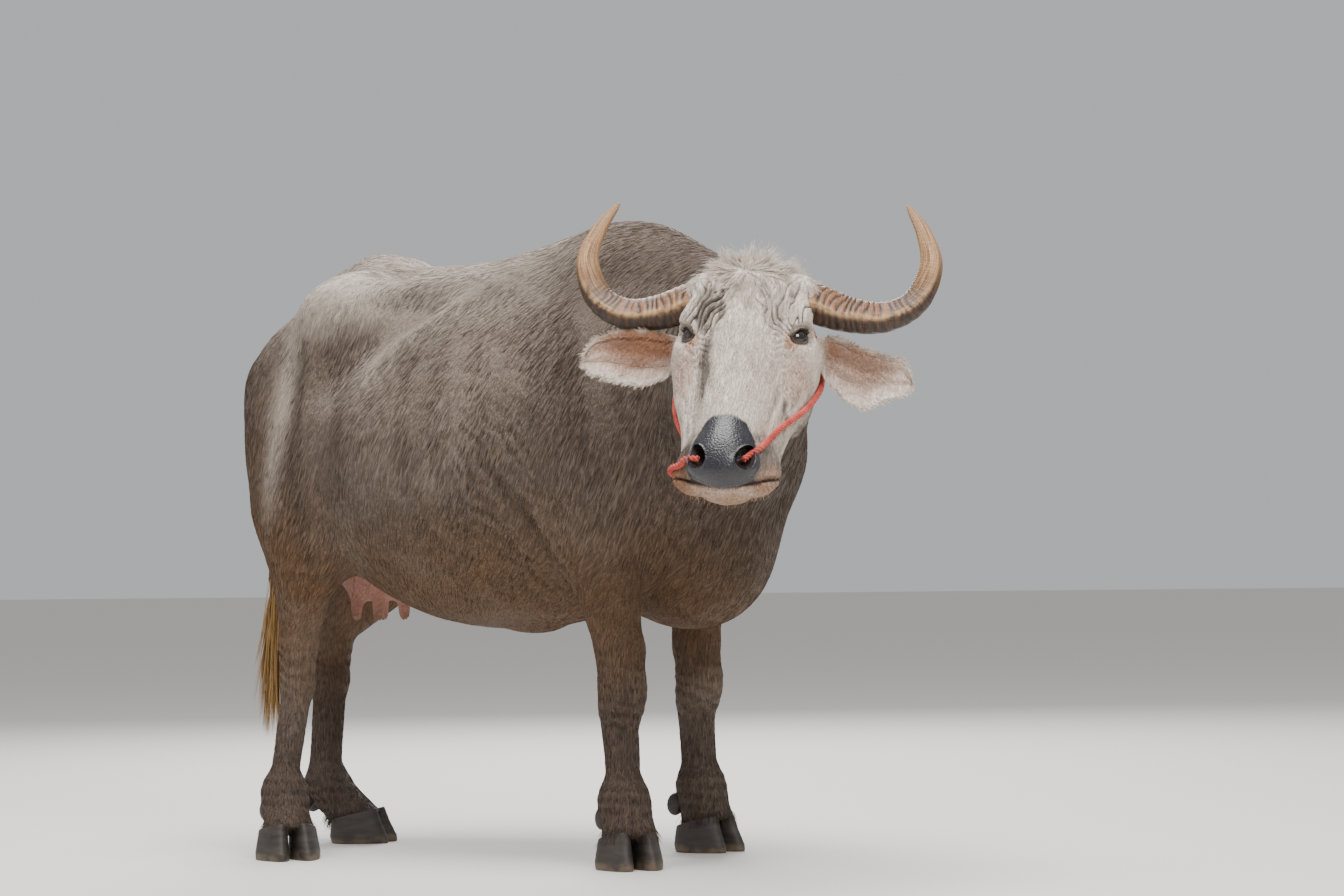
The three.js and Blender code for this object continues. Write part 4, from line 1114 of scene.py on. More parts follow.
@dataclass
class Hide:
    """Builds the skin of the animal, with its lids, nostrils and ears."""

    flesh: Flesh
    folds: Folds
    markings: Markings
    pitch: float = 12.0
    low: Triple = (-1120.0, -860.0, -14.0)
    high: Triple = (640.0, 430.0, 1340.0)
    nostril_depth: float = 34.0
    ear_rings: int = 54
    root_rings: int = 9
    ears: dict[int, tuple[int, int]] = field(default_factory=dict)
    pits: list[tuple[int, int]] = field(default_factory=list)

    def sheet(self) -> Sheet:
        """Returns the whole skin as a sheet, in the animal's frame."""
        low = np.array(self.low)
        counts = np.ceil((np.array(self.high) - low) / self.pitch).astype(int) + 1
        sheet = net(self.flesh.grid(low, counts, self.pitch), low, self.pitch)
        sheet.points = self.flesh.settle(sheet.points, 0, 2)
        sheet.refine(np.ones(len(sheet.quads), bool))
        sheet.points = self.flesh.settle(sheet.points, 0, 1)
        for zone in (self.head_zone, self.face_zone):
            sheet.refine(zone(sheet.points[sheet.quads].mean(axis=1)))
            near = zone(sheet.points)
            sheet.points[near] = self.flesh.settle(sheet.points[near], 0, 1)
        height = self.folds.of(sheet.points)
        sheet.points += sheet.normals() * (height + self.folds.broad(sheet.points) - COAT_DEPTH)[:, None]
        self.depths = height
        self.end_at_coronets(sheet)
        for _, side in SIDES:
            self.open_eye(sheet, side)
            self.open_nostril(sheet, side)
            self.grow_ear(sheet, side)
        return sheet

    def end_at_coronets(self, sheet: Sheet) -> None:
        """Ends the skin of each leg just inside the tops of its claws."""
        for leg in LEGS.values():
            foot = Pose.at((*leg.hoof, 0), leg.toe)
            local = foot.into(sheet.points)
            top = 56 + 0.25 * local[:, 0]
            low = (np.hypot(local[:, 0], local[:, 1]) < 130) & (local[:, 2] < top)
            local[low, 2] = top[low] - 0.02 * (top[low] - local[low, 2])
            local[low, :2] *= 0.97
            sheet.points[low] = foot.out(local[low])

    def head_zone(self, points: Points) -> Points:
        """Returns which points get the finer mesh of the head."""
        h = HEAD.into(points)
        return (head_share(points) > 0.02) & (h[:, 2] > -260)

    def face_zone(self, points: Points) -> Points:
        """Returns which points get the finest mesh: brows, eyes, roots of the ears and muzzle."""
        h = HEAD.into(points)
        x, y, z = h.T
        brows = (x > 24) & (x < 205) & (np.abs(y) > 32) & (z > -80)
        muzzle = (x > 385) & (z > -150)
        ears = (np.abs(x - 118) < 52) & (np.abs(z + 102) < 40) & (np.abs(y) > 60)
        return self.head_zone(points) & (brows | muzzle | ears) & (x < 530)

    def open_eye(self, sheet: Sheet, side: int) -> None:
        """Opens the skin over an eyeball and rolls the lids over it."""
        socket = EyeSocket(side)
        pose = socket.pose()
        local = pose.into(sheet.points)
        reach = np.hypot(local[:, 0] / 35, local[:, 1] / 27)
        rim = sheet.open_up((reach < 1) & (local[:, 2] > 0) & (local[:, 2] < 60))
        start = local[rim]
        turn = np.arctan2(start[:, 1] * 1.35, start[:, 0])
        margin = socket.margin(turn)
        upper = np.clip(np.sin(turn), 0, 1)
        rings = []
        for s in np.linspace(0, 1, 17)[1:]:
            flat = start[:, :2] * (1 - s) + margin * s
            ball = np.sqrt(np.maximum((EYE_R + 3.0) ** 2 - (flat**2).sum(axis=1), 0))
            q = float(step(np.array(s), 0.0, 0.85))
            high = start[:, 2] * (1 - q) + ball * q
            high += 1.4 * hill(s, 0.28, 0.12) * upper - 2.2 * hill(s, 0.5, 0.1) * (0.4 + 0.6 * upper)
            high += 1.1 * hill(s, 0.86, 0.1)
            rings.append(pose.out(np.column_stack([flat, high])))
        for shrink, lift in ((0.985, 1.9), (0.97, 0.6), (0.98, -0.8)):
            flat = margin * shrink
            ball = np.sqrt((EYE_R + lift) ** 2 - (flat**2).sum(axis=1))
            rings.append(pose.out(np.column_stack([flat, ball])))
        sheet.close_with(rim, rings)

    def open_nostril(self, sheet: Sheet, side: int) -> None:
        """Opens one nostril, with a swollen rim, and sinks it into the muzzle."""
        out = unit(np.array([0.72, side * 0.42, 0.55]))
        along = unit(np.array([-0.62, side * 0.62, 0.2]))
        along = unit(along - out * (along @ out))
        local_turn = np.stack([along, np.cross(out, along), out], 1)
        pose = Pose(HEAD.turn @ local_turn, HEAD.out([447, side * 45, -29]))
        local = pose.into(sheet.points)
        reach = np.hypot(local[:, 0] / 25, local[:, 1] / 19)
        rim = sheet.open_up((reach < 1) & (np.abs(local[:, 2]) < 40))
        start = local[rim]
        turn = np.arctan2(start[:, 1] * 1.2, start[:, 0])
        wide = 22.5 * np.cos(turn) + 1.5
        tall = 16.5 * np.sin(turn) * (1 - 0.3 * np.cos(turn))
        mouth = np.column_stack([wide, tall])
        rings = []
        for s in np.linspace(0, 1, 9)[1:]:
            flat = start[:, :2] * (1 - s) + mouth * s
            rings.append(pose.out(np.column_stack([flat, start[:, 2] + 2.4 * math.sin(math.pi * s)])))
        for s in np.linspace(0, 1, 12)[1:]:
            flat = mouth * (1 - 0.5 * s) + np.array([-4.0, 0]) * s
            deep = start[:, 2] - self.nostril_depth * (s**1.3)
            level = -self.nostril_depth + start[:, 2].mean()
            rings.append(pose.out(np.column_stack([flat, deep * (1 - s) + level * s])))
        # Keeps the nostril's inner rings, which get painted shade.
        self.pits.append((len(sheet.points) + 9 * len(rim), len(sheet.points) + len(rings) * len(rim)))
        sheet.close_with(rim, rings)

    def grow_ear(self, sheet: Sheet, side: int) -> None:
        """Draws one ear out of the side of the head."""
        shape = EarShape(side)
        local = HEAD.into(sheet.points)
        x, _, z, _ = shape.at(np.array([0.0]))[0]
        rel = local - [x, 0, z - 6]
        down, front = rel @ EAR_DOWN, rel @ EAR_FRONT
        reach = np.hypot(down / 33, front / 20)
        rim = sheet.open_up((reach < 1) & (side * local[:, 1] > 50))
        turn = np.arctan2(front[rim] / 20, down[rim] / 33)
        start = local[rim]
        rings = []
        first = 0.2
        root = shape.ring(first, turn)
        for s in np.linspace(0, 1, self.root_rings + 1)[1:]:
            ease = s * s * (3 - 2 * s)
            ring = start * (1 - ease) + root * ease
            ring[:, 1] = start[:, 1] * (1 - s) + root[:, 1] * s
            rings.append(HEAD.out(ring))
        for share in np.linspace(first, 1, self.ear_rings)[1:]:
            rings.append(HEAD.out(shape.ring(share, turn)))
        self.ears[side] = (len(sheet.points), len(rim))
        sheet.close_with(rim, rings)

    def marks(self, sheet: Sheet) -> Points:
        """Returns the marks at the points of the sheet, with those of ears and lids, and painted shade in
        the folds and the nostrils.
        """
        marks = self.markings.of(sheet.points)
        count = len(self.depths)
        # Painted shade: darker where the folds sink deep, and all through the nostrils.
        hollow = np.zeros(len(sheet.points))
        head = head_share(sheet.points[:count])
        hollow[:count] = step(-self.depths - 7.4 * (1 - head), 0.3, 2.8)
        marks[:, Mark.PAINTED_SHADE] = np.clip(sheet.smoothed(hollow), 0, 1)
        for first, last in self.pits:
            marks[first:last, Mark.PAINTED_SHADE] = 1
        for side in self.ears:
            self.mark_ear(marks, sheet.points, side)
        for _, side in SIDES:
            self.mark_lids(marks, sheet.points, side)
        return np.clip(marks, 0, 1)

    def mark_ear(self, marks: Points, points: Points, side: int) -> None:
        """Marks one ear: pale edges and tip, and a rusty hollow."""
        first, around = self.ears[side]
        last = first + around * (self.root_rings + self.ear_rings - 1) + 1
        fade = np.minimum(np.arange(last - first) / (around * self.root_rings), 1)
        marks[first:last, Mark.EAR] = fade
        own = marks[first:last].copy()
        local = HEAD.into(points[first:last])
        share, down, high = EarShape(side).within(local)
        inner = step(high, -1.0, 1.5)
        outer = 1 - inner
        edge = step(np.abs(down), 0.62, 0.98)
        fine = noise(local, (14, 30, 14), 21, 2)
        tip = step(share, 0.55, 0.95)
        low = step(down + 0.3 * fine, -0.45, 0.85)
        pale = np.clip(0.3 + 0.1 * side + 0.65 * low + 0.7 * tip, 0, 1)
        own[:, Mark.PALE] = inner * pale + outer * (0.3 + 0.6 * edge)
        own[:, Mark.RUST] = inner * (1 - low) * (0.62 - 0.16 * side - 0.4 * tip + 0.2 * fine)
        own[:, Mark.PINK] = inner * 0.3 * (1 - edge)
        own[:, Mark.DARK] = outer * 0.45 + inner * (0.3 + 0.3 * fine) * step(down, 0.1, -0.8)
        own[:, [Mark.LIP, Mark.NOSE]] = 0
        marks[first:last] += (own - marks[first:last]) * fade[:, None]

    def mark_lids(self, marks: Points, points: Points, side: int) -> None:
        """Marks the dark edges of one eye's lids."""
        lid = EyeSocket(side).pose().into(points)
        near = np.hypot(lid[:, 0] / 24, lid[:, 1] / 15.5)
        rim = step(near, 1.12, 0.9) * (np.abs(lid[:, 2]) < 60) * (side * HEAD.into(points)[:, 1] > 0)
        raise_mark(marks, Mark.DARK, rim)
        marks[:, Mark.RUST] *= 1 - rim
        marks[:, Mark.PALE] *= 1 - 0.9 * rim


# Making Blender objects


def new_object(name: str, points: Points, triangles: Faces) -> bpy.types.Object:
    """Makes a smooth object of triangles.

    Args:
        name: Its name.
        points: Its points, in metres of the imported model's frame.
        triangles: Its faces.

    Returns:
        The object, linked to the scene.
    """
    mesh = bpy.data.meshes.new(name)
    mesh.vertices.add(len(points))
    mesh.vertices.foreach_set("co", np.asarray(points, np.float32).ravel())
    mesh.loops.add(3 * len(triangles))
    mesh.loops.foreach_set("vertex_index", np.asarray(triangles, np.int32).ravel())
    mesh.polygons.add(len(triangles))
    mesh.polygons.foreach_set("loop_start", np.arange(0, 3 * len(triangles), 3, dtype=np.int32))
    mesh.polygons.foreach_set("use_smooth", np.ones(len(triangles), bool))
    mesh.update(calc_edges=True)
    return linked(name, mesh)


def linked(name: str, data: bpy.types.ID) -> bpy.types.Object:
    """Returns a new object of the scene, with its data."""
    made = bpy.data.objects.new(name, data)
    bpy.context.scene.collection.objects.link(made)
    return made


def write_values(made: bpy.types.Object, name: str, kind: str, values: Points) -> None:
    """Writes an attribute to the points of an object's mesh.

    Args:
        made: The object.
        name: What the attribute is called.
        kind: Its type: a float, a vector or a colour.
        values: One value or row a point.
    """
    field_name = {"FLOAT": "value", "FLOAT_VECTOR": "vector", "FLOAT_COLOR": "color"}[kind]
    layer = made.data.attributes.new(name, kind, "POINT")
    layer.data.foreach_set(field_name, np.ascontiguousarray(values, np.float32).ravel())


def carry_marks(made: bpy.types.Object, marks: Points, tone: Points | None = None) -> None:
    """Writes marks, and the tone of each hair, to the points of an object's mesh."""
    for name, first in (("marks_a", Mark.PALE), ("marks_b", Mark.NOSE)):
        write_values(made, name, "FLOAT_COLOR", marks[:, first : first + 4])
    if tone is not None:
        write_values(made, "tone", "FLOAT", tone)


def finish_piece(
    made: bpy.types.Object, material: bpy.types.Material, replaced: Sequence[str] = ()
) -> None:
    """Dresses a piece, hides the nodes that it stands for and hangs it under the root.

    Args:
        made: The piece.
        material: Its finish.
        replaced: The nodes that it stands for.
    """
    made.data.materials.clear()
    made.data.materials.append(material)
    if replaced:
        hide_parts(*replaced)
    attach(made, "root")
    LOG.info("%s: %d faces", made.name, len(made.data.polygons))


def lofted(rings: Points) -> tuple[Points, Faces]:
    """Runs a skin over rings, with a fan over each end.

    Args:
        rings: The points, by ring and place in the ring.

    Returns:
        Points and triangles.
    """
    count, sides, _ = rings.shape
    index = np.arange(count * sides).reshape(count, sides)
    a, b = index[:-1], np.roll(index[:-1], -1, axis=1)
    c, d = np.roll(index[1:], -1, axis=1), index[1:]
    faces = [np.stack([a, b, c], -1).reshape(-1, 3), np.stack([a, c, d], -1).reshape(-1, 3)]
    hub = count * sides
    first, last = index[0], index[-1]
    faces.append(np.stack([np.roll(first, -1), first, np.full(sides, hub)], -1))
    faces.append(np.stack([last, np.roll(last, -1), np.full(sides, hub + 1)], -1))
    return np.vstack([rings.reshape(-1, 3), rings[0].mean(axis=0), rings[-1].mean(axis=0)]), np.vstack(faces)


def frames_along(line: Points, up: np.ndarray) -> tuple[Points, Points]:
    """Returns the directions over and across a line at each of its points."""
    ways = unit(np.gradient(line, axis=0))
    across = unit(np.cross(ways, up))
    return unit(np.cross(across, ways)), across


# The coat: many fine tufts that lie along the hide


@dataclass
class Roots:
    """Where tufts grow: places, normals and marks, in the animal's frame."""

    points: Points
    normals: Points
    marks: Points

    def taken(self, chosen: Points) -> "Roots":
        """Returns the roots of a choice."""
        return Roots(self.points[chosen], self.normals[chosen], self.marks[chosen])

    def __len__(self) -> int:
        """Returns how many roots there are."""
        return len(self.points)


class Ground:
    """The finished hide, as the ground that tufts grow on."""

    def __init__(self, sheet: Sheet, marks: Points) -> None:
        """Keeps the hide's faces with their areas.

        Args:
            sheet: The hide.
            marks: The marks of its points.
        """
        self.points = sheet.points
        self.normals = sheet.normals()
        self.marks = marks
        self.faces = sheet.triangles()
        a, b, c = (self.points[self.faces[:, n]] for n in range(3))
        self.areas = span(np.cross(b - a, c - a)) / 2

    def sow(self, density: Points, seed: int, limit: int = 200000) -> Roots:
        """Spreads roots over the hide.

        Args:
            density: How many roots there are to a square millimetre, at each point.
            seed: Picks the pattern.
            limit: The most roots.

        Returns:
            The roots.
        """
        rng = np.random.default_rng(seed)
        weight = self.areas * density[self.faces].mean(axis=1)
        total = np.cumsum(weight)
        count = int(min(total[-1], limit))
        place = (np.arange(count) + rng.random(count)) / count * total[-1]
        face = self.faces[np.minimum(np.searchsorted(total, place), len(total) - 1)]
        u, v = rng.random(count), rng.random(count)
        over = u + v > 1
        u[over], v[over] = 1 - u[over], 1 - v[over]
        share = np.stack([1 - u - v, u, v], 1)[..., None]
        rows = [(field_[face] * share).sum(axis=1) for field_ in (self.points, self.normals, self.marks)]
        return Roots(rows[0], unit(rows[1]), rows[2])


@dataclass(frozen=True)
class Lie:
    """The way that the hair points, by place."""

    def of(self, roots: Roots) -> Points:
        """Returns the direction along the hide at each root."""
        p = roots.points
        h = HEAD.into(p)
        head = head_share(p)[:, None]
        low = step(p[:, 2], 620, 420)
        back = -0.42 * (1 - 0.8 * low) - 0.3 * step(p[:, 2], 1120, 1230)
        way = np.stack([back, 0.05 * np.sign(p[:, 1]), -np.ones(len(p))], 1)
        side = np.sign(h[:, 1])
        spread = 0.55 * step(np.abs(h[:, 1]), 20, 100) + 0.25 * step(h[:, 0], 330, 430)
        down = -0.9 * step(h[:, 2], -60, -150)
        brow = 0.2 + 0.8 * step(h[:, 0], 50, 0)
        brow = brow * step(h[:, 0], 110, 60) * step(np.abs(h[:, 1]), 20, 60)
        face = np.stack([np.ones(len(p)) - 0.55 * brow, side * (spread + 0.9 * brow), down], 1) @ HEAD.turn.T
        way = way * (1 - head) + face * head
        outer = roots.marks[:, Mark.EAR] > 0.5
        sweep = EAR_DOWN * 0.45
        leaf = np.stack([sweep[0] * np.ones(len(p)), side, sweep[2] * np.ones(len(p))], 1) @ HEAD.turn.T
        way[outer] = leaf[outer]
        way = way - (way * roots.normals).sum(axis=1)[:, None] * roots.normals
        return unit(way)

    def ruffled(self, roots: Roots, spread: float, seed: int) -> Points:
        """Returns the directions, each turned a little in the plane of the hide.

        Args:
            roots: The roots.
            spread: The turn, in radians.
            seed: Picks the turns.

        Returns:
            One direction a root.
        """
        way = self.of(roots)
        rng = np.random.default_rng(seed)
        swirl = 0.6 * noise(roots.points, 70, seed, 2) + 0.4 * noise(roots.points, 18, seed + 1)
        turn = spread * (swirl + 0.55 * rng.standard_normal(len(way)))[:, None]
        return way * np.cos(turn) + np.cross(roots.normals, way) * np.sin(turn)


def tuft_mesh(lines: Points, widths: Points, ups: Points) -> tuple[Points, Faces]:
    """Makes three-sided tufts that end in a point.

    Args:
        lines: The middle of each tuft, from its root to its tip.
        widths: How wide it is at each place but the tip.
        ups: The side that it turns outwards.

    Returns:
        The points, tuft by tuft, and the triangles.
    """
    count, stops, _ = lines.shape
    ways = unit(np.gradient(lines, axis=1))
    across = unit(np.cross(ways, ups[:, None, :]))
    over = np.cross(across, ways)
    wide = widths[..., None] / 2
    base, across, over = lines[:, :-1], across[:, :-1], over[:, :-1]
    rings = np.stack([base + across * wide, base + over * wide * 0.8, base - across * wide], 2)
    size = 3 * (stops - 1) + 1
    points = np.concatenate([rings.reshape(count, -1, 3), lines[:, -1:]], 1).reshape(-1, 3)
    faces = []
    for n in range(stops - 2):
        for k in range(3):
            a, b = 3 * n + k, 3 * n + (k + 1) % 3
            faces += [(a, b, b + 3), (a, b + 3, a + 3)]
    last = 3 * (stops - 2)
    faces += [(last + k, last + (k + 1) % 3, size - 1) for k in range(3)]
    every = np.array(faces)[None] + (np.arange(count) * size)[:, None, None]
    return points, every.reshape(-1, 3)


@dataclass(frozen=True)
class Growth:
    """How a kind of hair grows."""

    length: tuple[float, float]
    width: float
    rise: float = 0.5
    wild: float = 0.1
    stops: int = 3
    clump: float = 0.0
    pull: float = 0.0
    fall: float = 0.0
    tone: tuple[float, float] = (0.1, 0.9)
    seed: int = 1


@dataclass
class Crop:
    """Tufts that are ready to be made: their lines, widths, outward sides, roots and tones."""

    lines: Points
    widths: Points
    roots: Roots
    tones: Points

    def taken(self, chosen: Points) -> "Crop":
        """Returns the tufts of a choice."""
        return Crop(self.lines[chosen], self.widths[chosen], self.roots.taken(chosen), self.tones[chosen])

    def build(self, name: str, unwrap: Callable[[Points], Points]) -> bpy.types.Object:
        """Makes the tufts as one object.

        Args:
            name: Its name.
            unwrap: Lays places on the hide out flat.

        Returns:
            The object, with marks, tones and the map for baking.
        """
        count, stops, _ = self.lines.shape
        points, faces = tuft_mesh(self.lines, self.widths, self.roots.normals)
        made = new_object(name, placed(points), faces)
        size = 3 * (stops - 1) + 1
        along = np.concatenate([np.repeat(np.arange(stops - 1), 3), [stops - 1]]) / (stops - 1)
        tones = np.clip(self.tones[:, None] + 0.16 * (along - 0.5)[None, :], 0, 1)
        carry_marks(made, np.repeat(self.roots.marks, size, axis=0), tones.ravel())
        flat = unwrap(self.roots.points)
        flat = 0.01 + 0.975 * (flat - flat.min(axis=0)) / np.maximum(np.ptp(flat, axis=0), 1e-6)
        around = np.concatenate([np.tile(np.arange(3), stops - 1), [1]]) / 2
        patch = 0.003 * np.stack([around, along], 1)
        spots = (flat[:, None, :] + patch[None]).reshape(-1, 2)
        layer = made.data.uv_layers.new(name="OFBake")
        layer.data.foreach_set("uv", np.ascontiguousarray(spots[faces.ravel()], np.float32).ravel())
        return made


@dataclass
class Coat:
    """Grows all the hair of the animal over its finished hide."""

    ground: Ground
    flesh: Flesh
    folds: Folds
    lie: Lie = field(default_factory=Lie)
    body_density: float = 0.0185
    leg_density: float = 0.037
    face_density: float = 0.086
    body_tuft: tuple[float, float] = (25.0, 1.5)
    face_tuft: tuple[float, float] = (11.0, 0.95)
    body_ruffle: float = 0.11
    face_ruffle: float = 0.34

    def bare(self, points: Points) -> Points:
        """Returns where no short hair grows: eyes, nostrils, lips and soles."""
        h = HEAD.into(points)
        bare = np.zeros(len(points), bool)
        for _, side in SIDES:
            eye = EyeSocket(side).pose().into(points)
            bare |= (np.hypot(eye[:, 0] / 27, eye[:, 1] / 18) < 1) & (np.abs(eye[:, 2]) < 60)
            bare |= span((h - (445, side * 47, -36)) / (33, 30, 28)) < 1
        gap, _ = to_line(points, self.folds.lips[::3])
        bare |= gap < 3.5
        for leg in LEGS.values():
            foot = Pose.at((*leg.hoof, 0), leg.toe).into(points)
            near = np.hypot(foot[:, 0], foot[:, 1]) < 120
            bare |= near & (foot[:, 2] < 66 + 0.25 * foot[:, 0])
        return bare

    def short_density(self) -> Points:
        """Returns how many short tufts grow to a square millimetre, at each point of the hide."""
        p, marks = self.ground.points, self.ground.marks
        head = head_share(p)
        low = step(p[:, 2], 600, 420) * (1 - head)
        h = HEAD.into(p)
        folded = step(np.abs(h[:, 1]), 34, 55) * step(h[:, 0], -10, 20) * step(h[:, 0], 210, 170)
        density = self.body_density * (1 - head) * (1 - low) + self.leg_density * low
        density += self.face_density * head * (1 - 0.5 * folded)
        density *= 1 - 0.75 * marks[:, Mark.PINK] * (1 - head)
        density *= 1 - marks[:, Mark.NOSE]
        return density * ~self.bare(p)

    def short(self) -> Crop:
        """Returns the short flat hair of the whole animal."""
        roots = self.ground.sow(self.short_density(), 3, 150000)
        roots = roots.taken(~self.bare(roots.points))
        p = roots.points
        count = len(p)
        rng = np.random.default_rng(4)
        h = HEAD.into(p)
        head = head_share(p)
        low = step(p[:, 2], 620, 420) * (1 - head)
        leaf = roots.marks[:, Mark.EAR] > 0.1
        muzzle = step(h[:, 0], 300, 400) * head
        body_length, body_width = self.body_tuft
        face_length, face_width = self.face_tuft
        length = (body_length - 11 * low) * (1 - head) + head * (face_length - 4 * muzzle)
        width = (body_width - 0.35 * low) * (1 - head) + head * (face_width - 0.2 * muzzle)
        length = length * (0.7 + 0.6 * rng.random(count))
        folded = step(np.abs(h[:, 1]), 30, 50) * step(h[:, 0], -10, 20) * step(h[:, 0], 220, 170) * head
        length *= 1 - 0.4 * folded
        length[leaf] = 6 + 4 * rng.random(leaf.sum())
        width = width * (0.75 + 0.5 * rng.random(count))
        rise = (0.12 + 0.55 * rng.random(count)) * (1 - 0.4 * head - 0.2 * low)
        way = self.lie.ruffled(roots, self.body_ruffle, 5)
        way[head > 0.5] = self.lie.ruffled(roots.taken(head > 0.5), self.face_ruffle, 6)
        start = p - roots.normals * 0.5
        tips = start + way * length[:, None]
        level = self.flesh.height(p)
        bent = self.flesh.settle(tips, level + rise, 2)
        held = leaf | (span(bent - tips) > 0.6 * length)
        bent[held] = tips[held] + roots.normals[held] * rise[held, None]
        drop = ((tips - bent) * roots.normals).sum(axis=1)
        middle = start + way * (0.5 * length)[:, None]
        middle += roots.normals * (0.35 + 0.6 * rise - 0.25 * drop)[:, None]
        lines = np.stack([start, middle, bent], 1)
        widths = np.stack([0.7 * width, width], 1)
        broad = 0.5 + 0.09 * noise(p, (60, 60, 110), 31, 2)
        tones = np.clip(broad + (0.2 - 0.05 * head) * rng.standard_normal(count), 0, 1)
        return Crop(lines, widths, roots, tones)

    def long(self, kind: Growth, roots: Roots, way: Points) -> Crop:
        """Grows long hair from roots.

        Args:
            kind: How it grows.
            roots: Where it grows.
            way: The direction that it lies in.

        Returns:
            The hair.
        """
        rng = np.random.default_rng(kind.seed)
        count = len(roots)
        seeds = np.arange(count)
        if kind.clump > 0:
            cells = np.round(roots.points / kind.clump).astype(int)
            _, seeds = np.unique(cells, axis=0, return_inverse=True)
            seeds = seeds.ravel()
        groups = seeds.max() + 1
        total = np.bincount(seeds, minlength=groups)

        def mean(rows: Points) -> Points:
            """Returns the mean of the rows in each clump."""
            return np.stack([np.bincount(seeds, rows[:, n], groups) / total for n in range(3)], 1)

        hubs = mean(roots.points)
        group_way = unit(unit(mean(way)) + kind.wild * rng.standard_normal((groups, 3)))
        group_length = kind.length[0] + (kind.length[1] - kind.length[0]) * rng.random(groups)
        length = group_length[seeds] * (0.75 + 0.35 * rng.random(count))
        ways = unit(group_way[seeds] + 0.35 * kind.wild * rng.standard_normal((count, 3)))
        ups = unit(mean(roots.normals)[seeds])
        t = np.linspace(0, 1, kind.stops)
        curl = rng.standard_normal((groups, 3)) * kind.wild
        lines = np.empty((count, kind.stops, 3))
        at = roots.points - roots.normals * 1.0
        lines[:, 0] = at
        for n in range(1, kind.stops):
            bend = kind.rise * (1 - 1.6 * t[n])
            course = unit(ways + ups * bend + curl[seeds] * t[n] + np.array([0, 0, -kind.fall]) * t[n])
            at = at + course * (length / (kind.stops - 1))[:, None]
            lines[:, n] = at
        gather = kind.pull * (t[None, :, None] ** 1.3)
        lines -= (roots.points - hubs[seeds])[:, None, :] * gather
        taper = np.linspace(1, 0, kind.stops)[:-1] ** 0.6
        width = kind.width * (0.7 + 0.6 * rng.random(count))
        low, high = kind.tone
        tones = low + (high - low) * np.clip(0.5 * rng.random(groups)[seeds] + 0.5 * rng.random(count), 0, 1)
        return Crop(lines, width[:, None] * taper[None, :], roots, tones)

    def forelock(self) -> Crop:
        """Returns the tousled hair between the horns, which falls down the forehead."""
        g = self.ground
        h = HEAD.into(g.points)
        on_top = head_share(g.points, -80, -30) * step(h[:, 2], -82, -55) * step(h[:, 0], -80, -60)
        on_top = on_top * step(h[:, 0], 92, 40)
        narrow = 80 - 0.55 * np.clip(h[:, 0] + 30, 0, 110)
        roots = g.sow(0.115 * on_top * step(np.abs(h[:, 1]), narrow, narrow - 18), 11)
        p = HEAD.into(roots.points)
        wave = noise(p, 22, 41, 2)
        down = step(p[:, 0], -30, 20) * 1.5 - 0.45 + 0.25 * wave
        side = p[:, 1] / 60 + 0.7 * noise(p, 26, 42, 2)
        way = unit(np.stack([down, side, 0.15 * np.ones(len(p))], 1) @ HEAD.turn.T)
        kind = Growth(
            (34, 58), 1.4, rise=0.34, wild=0.24, stops=6, clump=11, pull=0.62, fall=0.3,
            tone=(0.35, 1.0), seed=12,
        )
        roots.marks[:, Mark.WARM] = 0.7
        roots.marks[:, Mark.PALE] = 0.8
        return self.long(kind, roots, way)

    def brows(self) -> Crop:
        """Returns the longer hair over the brows, combed outwards to the horns."""
        g = self.ground
        h = HEAD.into(g.points)
        over = step(np.abs(h[:, 1]), 40, 62) * step(h[:, 0], -40, -15) * step(h[:, 0], 40, 12)
        over = over * head_share(g.points) * step(h[:, 2], -70, -45)
        roots = g.sow(0.05 * over * ~self.bare(g.points), 13)
        p = HEAD.into(roots.points)
        side = np.sign(p[:, 1])
        way = np.stack([0.75 + 0.5 * noise(p, 30, 43, 2), 0.75 * side, -0.3 * np.ones(len(p))], 1)
        kind = Growth(
            (16, 28), 1.2, rise=0.22, wild=0.22, stops=4, clump=6, pull=0.5, tone=(0.1, 0.95),
            seed=14,
        )
        return self.long(kind, roots, unit(way @ HEAD.turn.T))

    def ears(self) -> Crop:
        """Returns the fringes of both ears and the long hair inside them."""
        g = self.ground
        crops = []
        local = HEAD.into(g.points)
        for _, s in SIDES:
            near = (s * local[:, 1] > 0) & (g.marks[:, Mark.EAR] > 0.6)
            share, down, high = np.zeros((3, len(local)))
            share[near], down[near], high[near] = EarShape(s).within(local[near])
            fringe = near * step(down, 0.78, 0.95) * step(share, 0.08, 0.3)
            fringe = np.maximum(fringe, near * step(share, 0.88, 0.97) * 0.8)
            top = near * step(-down, 0.82, 0.96) * step(share, 0.05, 0.2)
            inner = near * step(high, 0.5, 2.0) * step(share, 0.03, 0.1) * step(share, 0.85, 0.6)
            kinds = (
                (fringe, 0.36, (0.5, 0.55, 0.25), (9, 17), 1.1, 0.2, (0.6, 1.0), 0.0),
                (top, 0.28, (-0.7, 0.75, -0.1), (7, 12), 1.0, 0.2, (0.0, 0.5), 0.0),
                (inner, 0.05, (0.55, 0.8, 0.1), (13, 24), 0.9, 0.14, (0.35, 1.0), 0.16),
            )
            for n, (weight, density, lean, length, width, wild, tone, rise) in enumerate(kinds):
                roots = g.sow(density * weight, 50 + n + 10 * s)
                way = EAR_DOWN * lean[0] + np.array([0, s * lean[1], 0]) + EAR_FRONT * lean[2]
                rel = HEAD.into(roots.points)
                way = way + 0.35 * noise(rel, 16, 60 + n, 2)[:, None] * EAR_DOWN
                ways = unit(way @ HEAD.turn.T)
                kind = Growth(
                    length, width, rise=rise, wild=wild, stops=4, clump=5, pull=0.45,
                    tone=tone, seed=70 + n + s,
                )
                if n == 0:
                    roots.marks[:, Mark.PALE] = 1
                    roots.marks[:, Mark.RUST] = 0
                crops.append(self.long(kind, roots, ways))
        return joined(crops)

